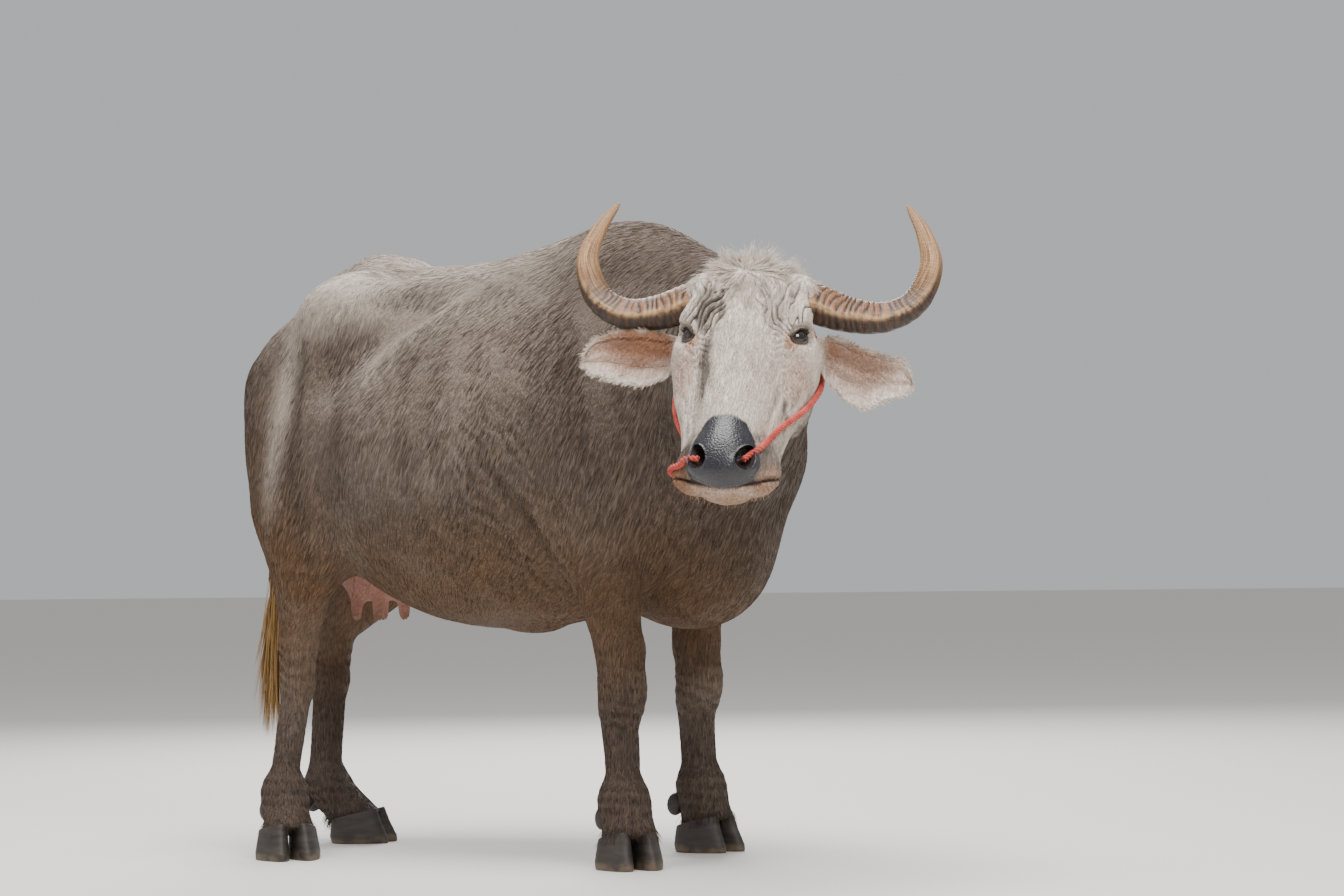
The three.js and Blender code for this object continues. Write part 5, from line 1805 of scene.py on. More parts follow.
    def switch(self) -> Crop:
        """Returns the long hair at the end of the tail."""
        g = self.ground
        p = g.points
        near = (np.hypot(p[:, 0] + 1030, p[:, 1]) < 34) * step(p[:, 2], 590, 520)
        roots = g.sow(0.075 * near, 15)
        way = np.tile(np.array([-0.03, -0.03, -1.0]), (len(roots), 1)) + 0.12 * roots.normals
        kind = Growth(
            (130, 215), 2.3, rise=0.05, wild=0.05, stops=7, clump=11, pull=0.7, fall=0.5,
            tone=(0.2, 1.0), seed=16,
        )
        roots.marks[:] = 0
        roots.marks[:, Mark.WARM] = 1
        crop = self.long(kind, roots, unit(way))
        low = 232 - crop.lines[:, -1, 2]
        crop.lines[..., 2] += np.maximum(low, 0)[:, None] * np.linspace(0, 1, 7)[None, :]
        return crop

    def bristles(self) -> Crop:
        """Returns the lashes, and the stiff hair of chin and lips."""
        g = self.ground
        h = HEAD.into(g.points)
        chin = head_share(g.points) * step(h[:, 0], 385, 420) * step(h[:, 2], -92, -104)
        roots = g.sow(0.012 * chin * ~self.bare(g.points), 17)
        way = HEAD.way(0.75, 0, -0.5) + 0.5 * roots.normals
        kind = Growth((9, 17), 0.8, rise=0.4, wild=0.25, stops=4, tone=(0.3, 1.0), seed=18)
        crops = [self.long(kind, roots, unit(way))]
        for _, s in SIDES:
            socket = EyeSocket(s)
            pose = socket.pose()
            turn = np.radians(np.linspace(12, 168, 70))
            flat = socket.margin(turn)
            high = np.sqrt((EYE_R + 2.5) ** 2 - (flat**2).sum(axis=1))
            normals = unit(np.column_stack([flat, high]) @ pose.turn.T)
            marks = np.zeros((70, len(Mark)))
            marks[:, Mark.DARK] = 1
            lashes = Roots(pose.out(np.column_stack([flat, high])), normals, marks)
            fan = np.column_stack([np.cos(turn) * 0.5, 0.35 * np.ones(70), 0.8 * np.ones(70)])
            kind = Growth((8, 12), 0.75, rise=-0.2, wild=0.12, stops=4, tone=(0, 0.1), seed=19)
            crops.append(self.long(kind, lashes, unit(fan @ pose.turn.T)))
        return joined(crops)

    def coronets(self) -> Crop:
        """Returns the hair that hangs over the tops of the claws."""
        g = self.ground
        weight = np.zeros(len(g.points))
        for leg in LEGS.values():
            foot = Pose.at((*leg.hoof, 0), leg.toe).into(g.points)
            over = foot[:, 2] - 57 - 0.25 * foot[:, 0]
            near = np.hypot(foot[:, 0], foot[:, 1]) < 110
            weight = np.maximum(weight, near * step(over, 0, 2) * step(over, 26, 14))
        roots = g.sow(0.065 * weight, 23)
        way = np.array([0, 0, -1.0]) + 0.5 * roots.normals
        kind = Growth(
            (18, 30), 1.3, rise=0.15, wild=0.14, stops=4, clump=5, pull=0.3, tone=(0.1, 0.8), seed=24
        )
        return self.long(kind, roots, unit(way))

    def dress(self, finish: bpy.types.Material, switch_finish: bpy.types.Material) -> None:
        """Grows all pieces of the coat.

        Args:
            finish: The finish of the hair.
            switch_finish: The finish of the tail's long hair.
        """
        crop = self.short()
        p = crop.roots.points
        h = HEAD.into(p)
        head = head_share(p) > 0.4
        leaf = crop.roots.marks[:, Mark.EAR] > 0.3
        low = (p[:, 2] < 560) & ~head
        pieces: list[tuple[str, Points, Callable[[Points], Points]]] = []
        for name, s in SIDES:
            mine = s * h[:, 1] > 0
            pieces.append((f"coat_face_{name}", head & ~leaf & mine, around_head))
            pieces.append((f"coat_ear_{name}", leaf & mine, along_ear))
            mine = s * p[:, 1] > 0
            trunk = ~head & ~low & mine
            for end, part in (("fore", p[:, 0] > -400), ("rear", p[:, 0] <= -400)):
                pieces.append((f"coat_{end}_{name}", trunk & part, around_trunk))
        gaps = [np.hypot(p[:, 0] - leg.middle[0], p[:, 1] - leg.middle[1]) for leg in LEGS.values()]
        nearest = np.argmin(gaps, axis=0)
        for n, (name, leg) in enumerate(LEGS.items()):
            pieces.append((f"coat_leg_{name}", low & (nearest == n), around_leg(leg)))
        for name, chosen, unwrap in pieces:
            if chosen.any():
                finish_piece(crop.taken(chosen).build(name, unwrap), finish)
        finish_piece(self.forelock().build("forelock", over_brow), finish)
        finish_piece(self.brows().build("brow_hair", over_brow), finish)
        finish_piece(self.ears().build("ear_hair", along_ear), finish)
        finish_piece(self.coronets().build("coronet_hair", around_trunk), finish)
        finish_piece(self.bristles().build("bristles", over_brow), finish)
        finish_piece(self.switch().build("tail_switch", around_tail), switch_finish)


def joined(crops: Sequence[Crop]) -> Crop:
    """Returns several lots of hair as one."""
    roots = [np.concatenate([getattr(c.roots, n) for c in crops]) for n in ("points", "normals", "marks")]
    rows = [np.concatenate([getattr(c, n) for c in crops]) for n in ("lines", "widths", "tones")]
    return Crop(rows[0], rows[1], Roots(*roots), rows[2])


def around_trunk(points: Points) -> Points:
    """Lays the trunk out flat: its length, and the angle from the back down to the belly."""
    angle = np.arctan2(np.abs(points[:, 1]), points[:, 2] - 860)
    return np.stack([points[:, 0], angle], 1)


def around_head(points: Points) -> Points:
    """Lays one side of the head out flat: its length, and the angle from the bridge of the nose."""
    h = HEAD.into(points)
    return np.stack([h[:, 0], np.arctan2(np.abs(h[:, 1]), h[:, 2] + 100)], 1)


def over_brow(points: Points) -> Points:
    """Lays the front of the head out flat."""
    return HEAD.into(points)[:, :2]


def along_ear(points: Points) -> Points:
    """Lays the ears out flat, with their fronts beside their backs."""
    h = HEAD.into(points)
    down = h @ EAR_DOWN
    front = h @ EAR_FRONT > -75
    return np.stack([h[:, 1], down + 140 * front], 1)


def around_tail(points: Points) -> Points:
    """Lays the tail out flat."""
    return np.stack([np.arctan2(points[:, 1], points[:, 0] + 1030), points[:, 2]], 1)


def around_leg(leg: Leg) -> Callable[[Points], Points]:
    """Returns what lays a leg out flat: the angle round it, and its height."""

    def unwrap(points: Points) -> Points:
        """Lays points of the leg out flat."""
        x, y, _ = (points - leg.middle).T
        return np.stack([np.arctan2(y, x), points[:, 2]], 1)

    return unwrap


# Horns, eyes, claws and the nose rope

HORN_LINE = (
    (20, 62, -52), (24, 115, -64), (32, 180, -84), (24, 243, -96),
    (-8, 298, -86), (-64, 324, -52), (-122, 308, -24), (-176, 273, 0),
)
UP = np.array([0.0, 0.0, 1.0])


@dataclass(frozen=True)
class Horn:
    """Builds one horn: a flattened sweep with slanting ridges that fade out to a smooth tip."""

    side: int
    rings: int = 270
    sides: int = 48
    over: float = 33.0
    across: float = 48.0
    ridges: int = 25

    def build(self, name: str) -> bpy.types.Object:
        """Returns the horn, with the share of its length and the place round it as attributes."""
        line = curve_through([(x, self.side * y, z) for x, y, z in HORN_LINE], self.rings)
        over, across = frames_along(line, UP)
        t = np.linspace(0, 1, self.rings)[:, None]
        a = np.linspace(0, 2 * np.pi, self.sides, endpoint=False)[None, :] * -self.side
        taper = np.sqrt(np.maximum(1 - t, 0)) * (1 - 0.25 * t) + 0.012 * (1 - t) ** 0.1
        edge = 1 + 0.22 * hill((a - math.radians(55) + np.pi) % (2 * np.pi) - np.pi, 0, 0.42)
        slant = t + 0.03 * np.sin(a + 0.6) + 0.004 * np.sin(3 * a + 17 * t)
        phase = self.ridges * (slant / 0.72) ** 0.9 + 0.35 * np.sin(23 * t) + 0.2 * np.sin(61 * t + a)
        depth = 0.55 + 0.45 * np.sin(np.floor(phase) * 12.9898) ** 2
        ridge = 1 - depth * np.abs((phase % 1.0) * 2 - 1) ** 1.7
        fade = 1 - step(t, 0.44, 0.76)
        face = 0.35 + 0.65 * step(np.sin(a), -0.5, 0.4)
        notch = hill(np.sin(a), -0.35, 0.3) * np.maximum(np.sin(phase * np.pi), 0) ** 2
        ring = 1 + 0.055 * fade * face * (ridge - 0.6) - 0.06 * fade * notch
        ring = ring + 0.012 * np.sin(7 * a + 9 * t) * fade
        high = self.over * np.sin(a) * taper * ring * edge
        wide = self.side * self.across * np.cos(a) * taper * ring * edge
        points = line[:, None] + over[:, None] * high[..., None] + across[:, None] * wide[..., None]
        skin, faces = lofted(points)
        made = new_object(name, placed(HEAD.out(skin)), faces)
        turned = (a + np.pi) % (2 * np.pi) - np.pi
        # The lower side of the horn, where the finish paints shade.
        lower = step(np.abs(np.degrees(turned) + 8), 64, 48)
        rim = hill(np.degrees(turned), 57, 9)
        self.write(made, "horn", (t, ridge * fade, lower, rim))
        self.write(made, "grain", (9 * t, 0.55 * np.sin(a), 0.55 * np.cos(a), t))
        return made

    def write(self, made: bpy.types.Object, name: str, parts: Sequence[Points]) -> None:
        """Writes four values of each point to the horn's mesh.

        Args:
            made: The horn.
            name: What they are called.
            parts: The values, by ring and place in the ring.
        """
        shape = (self.rings, self.sides)
        rows = np.stack([np.broadcast_to(part, shape) for part in parts], -1).reshape(-1, 4)
        rows = np.vstack([rows, rows[0], rows[-1]])
        write_values(made, name, "FLOAT_COLOR", rows)


@dataclass(frozen=True)
class Eyeball:
    """Builds one eyeball, with a slight bulge over its iris."""

    side: int
    rings: int = 60
    sides: int = 96
    bulge: float = 0.9
    iris: float = 14.0

    def build(self, name: str) -> bpy.types.Object:
        """Returns the eyeball, with the place on its face as an attribute."""
        pose = EyeSocket(self.side).pose()
        fall = np.linspace(0.004, np.pi - 0.004, self.rings)[:, None]
        turn = np.linspace(0, 2 * np.pi, self.sides, endpoint=False)[None, :] * self.side
        flat = EYE_R * np.sin(fall)
        high = EYE_R * np.cos(fall) + self.bulge * hill(flat, 0, 11) * (np.cos(fall) > 0)
        local = np.stack(np.broadcast_arrays(flat * np.cos(turn), flat * np.sin(turn), high), -1)
        points, faces = lofted(local)
        made = new_object(name, placed(pose.out(points)), faces)
        write_values(made, "eye", "FLOAT_VECTOR", points / self.iris)
        return made


CLAW_RINGS = ((0, 76, -50, 66, 2), (14, 74, -54, 67, 2), (42, 60, -52, 62, 3), (96, 40, -44, 52, 5))


@dataclass(frozen=True)
class Claw:
    """Builds one claw of a hoof, with growth rings and a worn lower edge."""

    leg: Leg
    inner: bool
    rings: int = 36
    sides: int = 48

    def build(self, name: str) -> bpy.types.Object:
        """Returns the claw."""
        k = -self.leg.side if self.inner else self.leg.side
        base = np.array(CLAW_RINGS, float)
        height = np.linspace(0, 1, self.rings) ** 1.1 * 78
        front, back, outer, inner = (np.interp(height, base[:, 0], base[:, n])[:, None] for n in range(1, 5))
        a = np.linspace(0, 2 * np.pi, self.sides, endpoint=False)[None, :] * k
        fore = np.maximum(0, np.cos(a))
        x = np.cos(a) * np.where(np.cos(a) > 0, front, -back)
        y = (outer + inner) / 2 + (outer - inner) / 2 * np.sin(a) * (1 - 0.2 * fore) - 7 * fore
        y = np.maximum(y, inner)
        z = np.broadcast_to(height[:, None], x.shape)
        rings = 0.5 * np.sin(z / 2.1 + 0.5 * np.sin(2 * a)) + 0.5 * np.sin(z / 4.7 + a)
        swell = 1 + 0.006 * rings * step(z, 3, 12) - 0.03 * step(z, 4, 0)
        middle = (outer + inner) / 2
        local = np.stack([x * swell, k * (middle + (y - middle) * swell), z], -1)
        local[..., 2] = np.minimum(local[..., 2], 63 + 0.25 * local[..., 0])
        points, faces = lofted(local)
        pose = Pose.at((*self.leg.hoof, 0), self.leg.toe)
        return new_object(name, placed(pose.out(points)), faces)


@dataclass(frozen=True)
class Dewclaw:
    """Builds one of the two small claws behind a fetlock."""

    leg: Leg
    inner: bool
    size: Triple = (20, 15, 24)

    def build(self, name: str) -> bpy.types.Object:
        """Returns the dewclaw."""
        k = -self.leg.side if self.inner else self.leg.side
        x, y, z = self.leg.fetlock
        pose = Pose.at((x, y, z - 34), self.leg.toe)
        tip = Pose.at(tuple(pose.out([-46, k * 29, 0])), self.leg.toe, 20)
        fall = np.linspace(0.02, np.pi - 0.02, 22)[:, None]
        turn = np.linspace(0, 2 * np.pi, 28, endpoint=False)[None, :]
        ring = 1 + 0.02 * np.sin(9 * np.cos(fall) * 2)
        local = np.stack(
            [
                self.size[0] * np.sin(fall) * np.cos(turn) * ring,
                -self.size[1] * np.sin(fall) * np.sin(turn) * ring,
                self.size[2] * np.cos(fall) * np.ones_like(turn),
            ],
            -1,
        )
        points, faces = lofted(local)
        return new_object(name, placed(tip.out(points)), faces)


ROPE_SIDE = (
    (446, 40, -36), (402, 60, -52), (371, 68, -66), (323, 86, -82), (268, 114, -100), (195, 138, -128),
    (130, 128, -160), (65, 105, -170), (0, 75, -140), (-45, 38, -95),
)
ROPE_FAR_SIDE = (
    (446, 40, -36), (440, 64, -50), (430, 84, -80), (412, 90, -114), (380, 84, -128), (340, 84, -132),
    (268, 106, -136), (195, 132, -148), (130, 128, -164), (65, 105, -170), (0, 75, -140), (-45, 38, -95),
)


@dataclass(frozen=True)
class NoseRope:
    """Builds the thin rope that runs from nostril to nostril behind the horns."""

    flesh: Flesh
    radius: float = 6.0
    strands: int = 3
    lay: float = 26.0
    step_length: float = 3.2

    def line(self) -> Points:
        """Returns the middle of the rope, laid on the face."""
        left = [tuple(p) for p in ROPE_SIDE]
        right = [(x, -y, z) for x, y, z in reversed(ROPE_FAR_SIDE)]
        curve = HEAD.out(curve_through([*left, (-60, 0, -75), *right], 700))
        laid = self.flesh.settle(curve, 4.5, 5)
        ends = np.minimum(np.arange(700), np.arange(700)[::-1]) / 34
        share = step(ends, 0.1, 1.0)[:, None]
        curve = curve * (1 - share) + laid * share
        run = np.concatenate([[0], np.cumsum(span(np.diff(curve, axis=0)))])
        even = np.arange(0, run[-1], self.step_length)
        curve = np.stack([np.interp(even, run, curve[:, n]) for n in range(3)], 1)
        for _ in range(4):
            curve[1:-1] = 0.5 * curve[1:-1] + 0.25 * (curve[:-2] + curve[2:])
        return curve

    def build(self) -> bpy.types.Object:
        """Returns the rope as one object of twisted strands."""
        line = self.line()
        over, across = frames_along(line, HEAD.way(0.1, 0, 1))
        run = np.arange(len(line)) * self.step_length
        a = np.linspace(0, 2 * np.pi, 12, endpoint=False)[None, :]
        points, faces, count = [], [], 0
        for strand in range(self.strands):
            turn = run / self.lay * 2 * np.pi + strand * 2 * np.pi / self.strands
            off = over * np.cos(turn)[:, None] + across * np.sin(turn)[:, None]
            middle = line + off * self.radius * 0.46
            wide = self.radius * 0.56
            ring = middle[:, None] + over[:, None] * (wide * np.cos(a))[..., None]
            ring = ring + across[:, None] * (wide * np.sin(a))[..., None]
            skin, skin_faces = lofted(ring)
            points.append(skin)
            faces.append(skin_faces + count)
            count += len(skin)
        return new_object("halter_rope", placed(np.vstack(points)), np.vstack(faces))


def combed(points: Points) -> Points:
    """Returns places squeezed along the lie of the hair, so that noise on them makes strokes.

    Args:
        points: Places in the animal's frame.

    Returns:
        Metres, shortest along the hair.
    """
    lean = np.radians(22 * (1 - step(points[:, 2], 620, 420)) + 20 * step(points[:, 2], 1100, 1230))
    x, y, z = points.T
    along = -z * np.cos(lean) - x * np.sin(lean)
    across = x * np.cos(lean) - z * np.sin(lean)
    body = np.stack([across, y, along * 0.09], 1)
    h = HEAD.into(points)
    face = np.stack([h[:, 1], h[:, 2], h[:, 0] * 0.14], 1)
    head = head_share(points)[:, None]
    return (body * (1 - head) + face * head) / 1000


# Finishes

Source = bpy.types.NodeSocket | float | tuple
Tint = tuple[float, float, float, float]
Inputs = dict[str | int, Source]


def colour(red: float, green: float, blue: float) -> Tint:
    """Returns a display colour, given from 0 to 255, as the linear colour that a shader takes."""
    parts = [c / 255 for c in (red, green, blue)]
    linear = [c / 12.92 if c <= 0.04045 else ((c + 0.055) / 1.055) ** 2.4 for c in parts]
    return (*linear, 1.0)


class Tree:
    """Adds nodes to a node tree, each joined up as it is made."""

    def __init__(self, tree: bpy.types.NodeTree) -> None:
        """Starts on a tree."""
        self.tree = tree

    def node(self, kind: str, inputs: Inputs | None = None, **settings: object) -> bpy.types.Node:
        """Adds a node.

        Args:
            kind: The node's type, after the word ShaderNode.
            inputs: What goes into its sockets, by name or number: another socket or a value.
            settings: Its other settings.

        Returns:
            The node.
        """
        made = self.tree.nodes.new(f"ShaderNode{kind}")
        for name, value in settings.items():
            setattr(made, name, value)
        for name, value in (inputs or {}).items():
            self.join(made.inputs[name], value)
        return made

    def join(self, socket: bpy.types.NodeSocket, value: Source) -> None:
        """Joins a socket to another one, or sets its value."""
        if isinstance(value, bpy.types.NodeSocket):
            self.tree.links.new(value, socket)
        else:
            socket.default_value = value

    def math(self, operation: str, a: Source, b: Source, clamp: bool = False) -> bpy.types.NodeSocket:
        """Returns the result of an operation on two values."""
        return self.node("Math", {0: a, 1: b}, operation=operation, use_clamp=clamp).outputs[0]

    def plus(self, a: Source, b: Source, clamp: bool = False) -> bpy.types.NodeSocket:
        """Returns the sum of two values."""
        return self.math("ADD", a, b, clamp)

    def minus(self, a: Source, b: Source) -> bpy.types.NodeSocket:
        """Returns the difference of two values."""
        return self.math("SUBTRACT", a, b)

    def times(self, a: Source, b: Source) -> bpy.types.NodeSocket:
        """Returns the product of two values."""
        return self.math("MULTIPLY", a, b)

    def mix(self, share: Source, a: Source, b: Source) -> bpy.types.NodeSocket:
        """Returns a blend of two colours."""
        made = self.node("Mix", data_type="RGBA")
        for name, value in (("Factor_Float", share), ("A_Color", a), ("B_Color", b)):
            self.join(next(s for s in made.inputs if s.identifier == name), value)
        return next(s for s in made.outputs if s.identifier == "Result_Color")

    def noise(self, place: Source, scale: Source, detail: float = 2.0) -> bpy.types.NodeSocket:
        """Returns smooth noise."""
        return self.node("TexNoise", {"Vector": place, "Scale": scale, "Detail": detail}).outputs[0]

    def stretched(self, place: Source, scale: Triple) -> bpy.types.NodeSocket:
        """Returns places scaled along each axis."""
        return self.node("VectorMath", {0: place, 1: scale}, operation="MULTIPLY").outputs[0]

    def reach(self, place: Source) -> bpy.types.NodeSocket:
        """Returns how far places are from the origin."""
        return self.node("VectorMath", {0: place}, operation="LENGTH").outputs["Value"]

    def band(self, value: Source, low: float, high: float) -> bpy.types.NodeSocket:
        """Returns a smooth rise from 0 to 1 between two values."""
        inputs = {0: value, 1: low, 2: high, 3: 0.0, 4: 1.0}
        return self.node("MapRange", inputs, interpolation_type="SMOOTHSTEP").outputs[0]

    def place(self) -> bpy.types.NodeSocket:
        """Returns the place on the piece, in metres."""
        return self.node("TexCoord").outputs["Object"]

    def attribute(self, name: str) -> bpy.types.NodeOutputs:
        """Returns the sockets of the node that reads an attribute."""
        return self.node("Attribute", attribute_name=name).outputs

    def parts(self, tint: Source) -> Sequence[bpy.types.NodeSocket]:
        """Returns the three parts of a colour."""
        return self.node("SeparateColor", {0: tint}).outputs[:3]


@dataclass(frozen=True)
class Effect:
    """A shared shader node group, described by its sockets."""

    name: str
    inputs: tuple[tuple[str, str], ...]
    outputs: tuple[tuple[str, str], ...]

    def start(self) -> tuple[Tree, bpy.types.NodeOutputs, bpy.types.NodeInputs]:
        """Makes the group.

        Returns:
            Its tree, and the sockets of its inputs and outputs.
        """
        group = bpy.data.node_groups.new(self.name, "ShaderNodeTree")
        for way, sockets in (("INPUT", self.inputs), ("OUTPUT", self.outputs)):
            for label, kind in sockets:
                group.interface.new_socket(label, in_out=way, socket_type=f"NodeSocket{kind}")
        inside, outside = group.nodes.new("NodeGroupInput"), group.nodes.new("NodeGroupOutput")
        return Tree(group), inside.outputs, outside.inputs

    def use(self, tree: Tree, inputs: Inputs) -> bpy.types.NodeOutputs:
        """Adds the group to a tree, and returns its outputs."""
        return tree.node("Group", inputs, node_tree=bpy.data.node_groups[self.name]).outputs


@dataclass(frozen=True)
class Shades:
    """The darkest and lightest shade of one kind of hair."""

    dark: Tint
    light: Tint


HIDE_SHADES = Shades(colour(42, 33, 27), colour(111, 95, 82))
# The pale shades also paint the highlights of the body, and the warm and dark shades some shade under the
# belly and on the neck.
MARK_SHADES = {
    Mark.WARM: Shades(colour(50, 32, 18), colour(114, 82, 50)),
    Mark.DARK: Shades(colour(34, 27, 23), colour(80, 67, 58)),
    Mark.PALE: Shades(colour(170, 154, 140), colour(242, 232, 220)),
    Mark.PINK: Shades(colour(138, 92, 80), colour(194, 144, 128)),
    Mark.RUST: Shades(colour(112, 70, 50), colour(196, 142, 106)),
    Mark.LIP: Shades(colour(108, 72, 50), colour(186, 138, 102)),
    Mark.NOSE: Shades(colour(16, 17, 22), colour(44, 44, 52)),
    # Painted shade for creases and nostrils.
    Mark.PAINTED_SHADE: Shades(colour(38, 31, 29), colour(74, 60, 54)),
}
PAINTED_SHADE_STRENGTH = 0.9
DRY, WET = 0.66, 0.42

HIDE_COLOUR = Effect(
    "hide_colour",
    (
        ("Marks A", "Color"), ("Alpha A", "Float"), ("Marks B", "Color"), ("Alpha B", "Float"),
        ("Tone", "Float"),
    ),
    (("Colour", "Color"), ("Roughness", "Float")),
)
STROKES = Effect("strokes", (("Comb", "Vector"), ("Fineness", "Float")), (("Value", "Float"),))


def make_effects() -> None:
    """Makes the shared node groups."""
    tree, inside, outside = HIDE_COLOUR.start()
    tone = inside["Tone"]
    shares = []
    for letter in "AB":
        shares += [*tree.parts(inside[f"Marks {letter}"]), inside[f"Alpha {letter}"]]
    tint = tree.mix(tone, HIDE_SHADES.dark, HIDE_SHADES.light)
    for mark, shades in MARK_SHADES.items():
        # Painted shade is mixed in at a little under full strength.
        share = tree.times(shares[mark], PAINTED_SHADE_STRENGTH if mark is Mark.PAINTED_SHADE else 1.0)
        tint = tree.mix(share, tint, tree.mix(tone, shades.dark, shades.light))
    tree.join(outside["Colour"], tint)
    tree.join(outside["Roughness"], tree.minus(DRY, tree.times(shares[Mark.NOSE], WET)))

    tree, inside, outside = STROKES.start()
    fineness = inside["Fineness"]
    coarse = tree.noise(inside["Comb"], fineness, 2.0)
    fine = tree.noise(inside["Comb"], tree.times(fineness, 2.7), 1.0)
    tree.join(outside["Value"], tree.band(tree.plus(coarse, fine), 0.72, 1.28))


def marked(tree: Tree, tone: Source) -> bpy.types.NodeOutputs:
    """Returns colour and roughness by the marks of the mesh and a tone from 0 to 1."""
    inputs: Inputs = {"Tone": tone}
    for letter in "AB":
        marks = tree.attribute(f"marks_{letter.lower()}")
        inputs |= {f"Marks {letter}": marks["Color"], f"Alpha {letter}": marks["Alpha"]}
    return HIDE_COLOUR.use(tree, inputs)


class Surface(Tree):
    """The node tree of a new material, with the sockets of its surface."""

    def __init__(self, name: str) -> None:
        """Makes an empty material with one surface."""
        self.material = bpy.data.materials.new(name)
        self.material.use_nodes = True
        super().__init__(self.material.node_tree)

    def set(self, **values: Source) -> None:
        """Sets sockets of the surface, by their names with underscores for spaces."""
        for name, value in values.items():
            self.join(self.tree.nodes["Principled BSDF"].inputs[name.replace("_", " ")], value)

    def bump(self, height: Source, distance: float) -> None:
        """Joins a bump in metres to the surface."""
        self.set(Normal=self.node("Bump", {"Height": height, "Distance": distance}).outputs["Normal"])


@dataclass(frozen=True)
class Finish:
    """A material, by its name. Each kind paints its own surface."""

    name: str

    def build(self) -> bpy.types.Material:
        """Returns the material."""
        surface = Surface(self.name)
        self.paint(surface)
        return surface.material

    def paint(self, t: Surface) -> None:
        """Joins up the surface."""
        raise NotImplementedError


@dataclass(frozen=True)
class HideFinish(Finish):
    """The skin with its short flat hair, wet where the nose is bare."""

    stroke_fineness: float = 210.0
    pebble_scale: float = 330.0
    furrow_scale: float = 420.0
    depth: float = 0.0011

    def paint(self, t: Surface) -> None:
        """Colours the skin by its marks, with strokes of hair and the pebbles of the nose."""
        inputs = {"Comb": t.attribute("comb")["Vector"], "Fineness": self.stroke_fineness}
        strokes = STROKES.use(t, inputs)["Value"]
        place = t.place()
        tone = t.plus(t.times(strokes, 0.62), t.times(t.noise(place, 7.0, 3.0), 0.36), True)
        made = marked(t, tone)
        nose = t.parts(t.attribute("marks_b")["Color"])[0]
        cells = t.node("TexVoronoi", {"Vector": place, "Scale": self.pebble_scale}, feature="SMOOTH_F1")
        pebble = t.minus(0.6, cells.outputs["Distance"])
        hair = t.plus(strokes, t.times(t.noise(place, self.furrow_scale), 0.35))
        t.bump(t.plus(hair, t.times(t.minus(pebble, hair), nose)), self.depth)
        patchy = t.times(t.noise(place, 60.0, 3.0), 0.2)
        t.set(Base_Color=made["Colour"], Roughness=t.plus(made["Roughness"], patchy))
        t.set(Coat_Weight=t.times(nose, 0.22), Coat_Roughness=0.2)


@dataclass(frozen=True)
class HairFinish(Finish):
    """The hair, coloured by the marks of the place where it grows."""

    roughness: float = 0.72

    def paint(self, t: Surface) -> None:
        """Colours each hair by its marks and its tone."""
        tint = marked(t, t.attribute("tone")["Fac"])["Colour"]
        t.set(Base_Color=tint, Roughness=self.roughness, Specular_IOR_Level=0.3)


@dataclass(frozen=True)
class SwitchFinish(Finish):
    """The straw-coloured hair at the end of the tail."""

    dark: Tint = colour(92, 62, 32)
    light: Tint = colour(196, 156, 98)

    def paint(self, t: Surface) -> None:
        """Colours each hair by its tone."""
        t.set(Base_Color=t.mix(t.attribute("tone")["Fac"], self.dark, self.light), Roughness=0.5)


@dataclass(frozen=True)
class HornFinish(Finish):
    """Brown horn, dark in its furrows, with painted shade underneath, tan and smooth at the tip."""

    dark: Tint = colour(34, 22, 14)
    umber: Tint = colour(76, 50, 30)
    brown: Tint = colour(120, 76, 42)
    tan: Tint = colour(190, 154, 112)
    depth: float = 0.0013

    def paint(self, t: Surface) -> None:
        """Lays furrows, fibres, painted shade on the underside and the pale tip over each other."""
        horn = t.attribute("horn")
        grain = t.attribute("grain")["Vector"]
        along, ridge, lower = t.parts(horn["Color"])
        fibre = t.noise(t.stretched(grain, (0.6, 14.0, 14.0)), 1.6, 3.0)
        dashes = t.noise(t.stretched(grain, (9.0, 1.6, 1.6)), 1.5, 3.0)
        flake = t.noise(t.place(), 70.0, 3.0)
        crest = t.plus(ridge, t.times(dashes, 1.1))
        base = t.mix(t.band(crest, 0.92, 1.52), self.dark, self.brown)
        light = t.times(t.band(fibre, 0.46, 0.72), t.band(crest, 1.1, 1.6))
        base = t.mix(t.times(light, 0.36), base, self.tan)
        tip = t.mix(t.band(fibre, 0.3, 0.75), self.brown, self.tan)
        base = t.mix(t.band(t.plus(along, t.times(flake, 0.12)), 0.56, 0.8), base, tip)
        # Painted shade on the underside, fading out towards the tip.
        under = t.times(lower, t.band(along, 0.82, 0.58))
        shade = t.mix(t.band(dashes, 0.4, 0.75), self.dark, self.umber)
        base = t.mix(t.times(under, 0.92), base, shade)
        edge = t.times(horn["Alpha"], t.times(t.band(along, 0.75, 0.6), t.band(flake, 0.3, 0.6)))
        base = t.mix(t.times(edge, 0.8), base, self.tan)
        t.set(Base_Color=base, Roughness=t.plus(0.36, t.times(flake, 0.2)))
        t.bump(t.plus(fibre, dashes), self.depth)


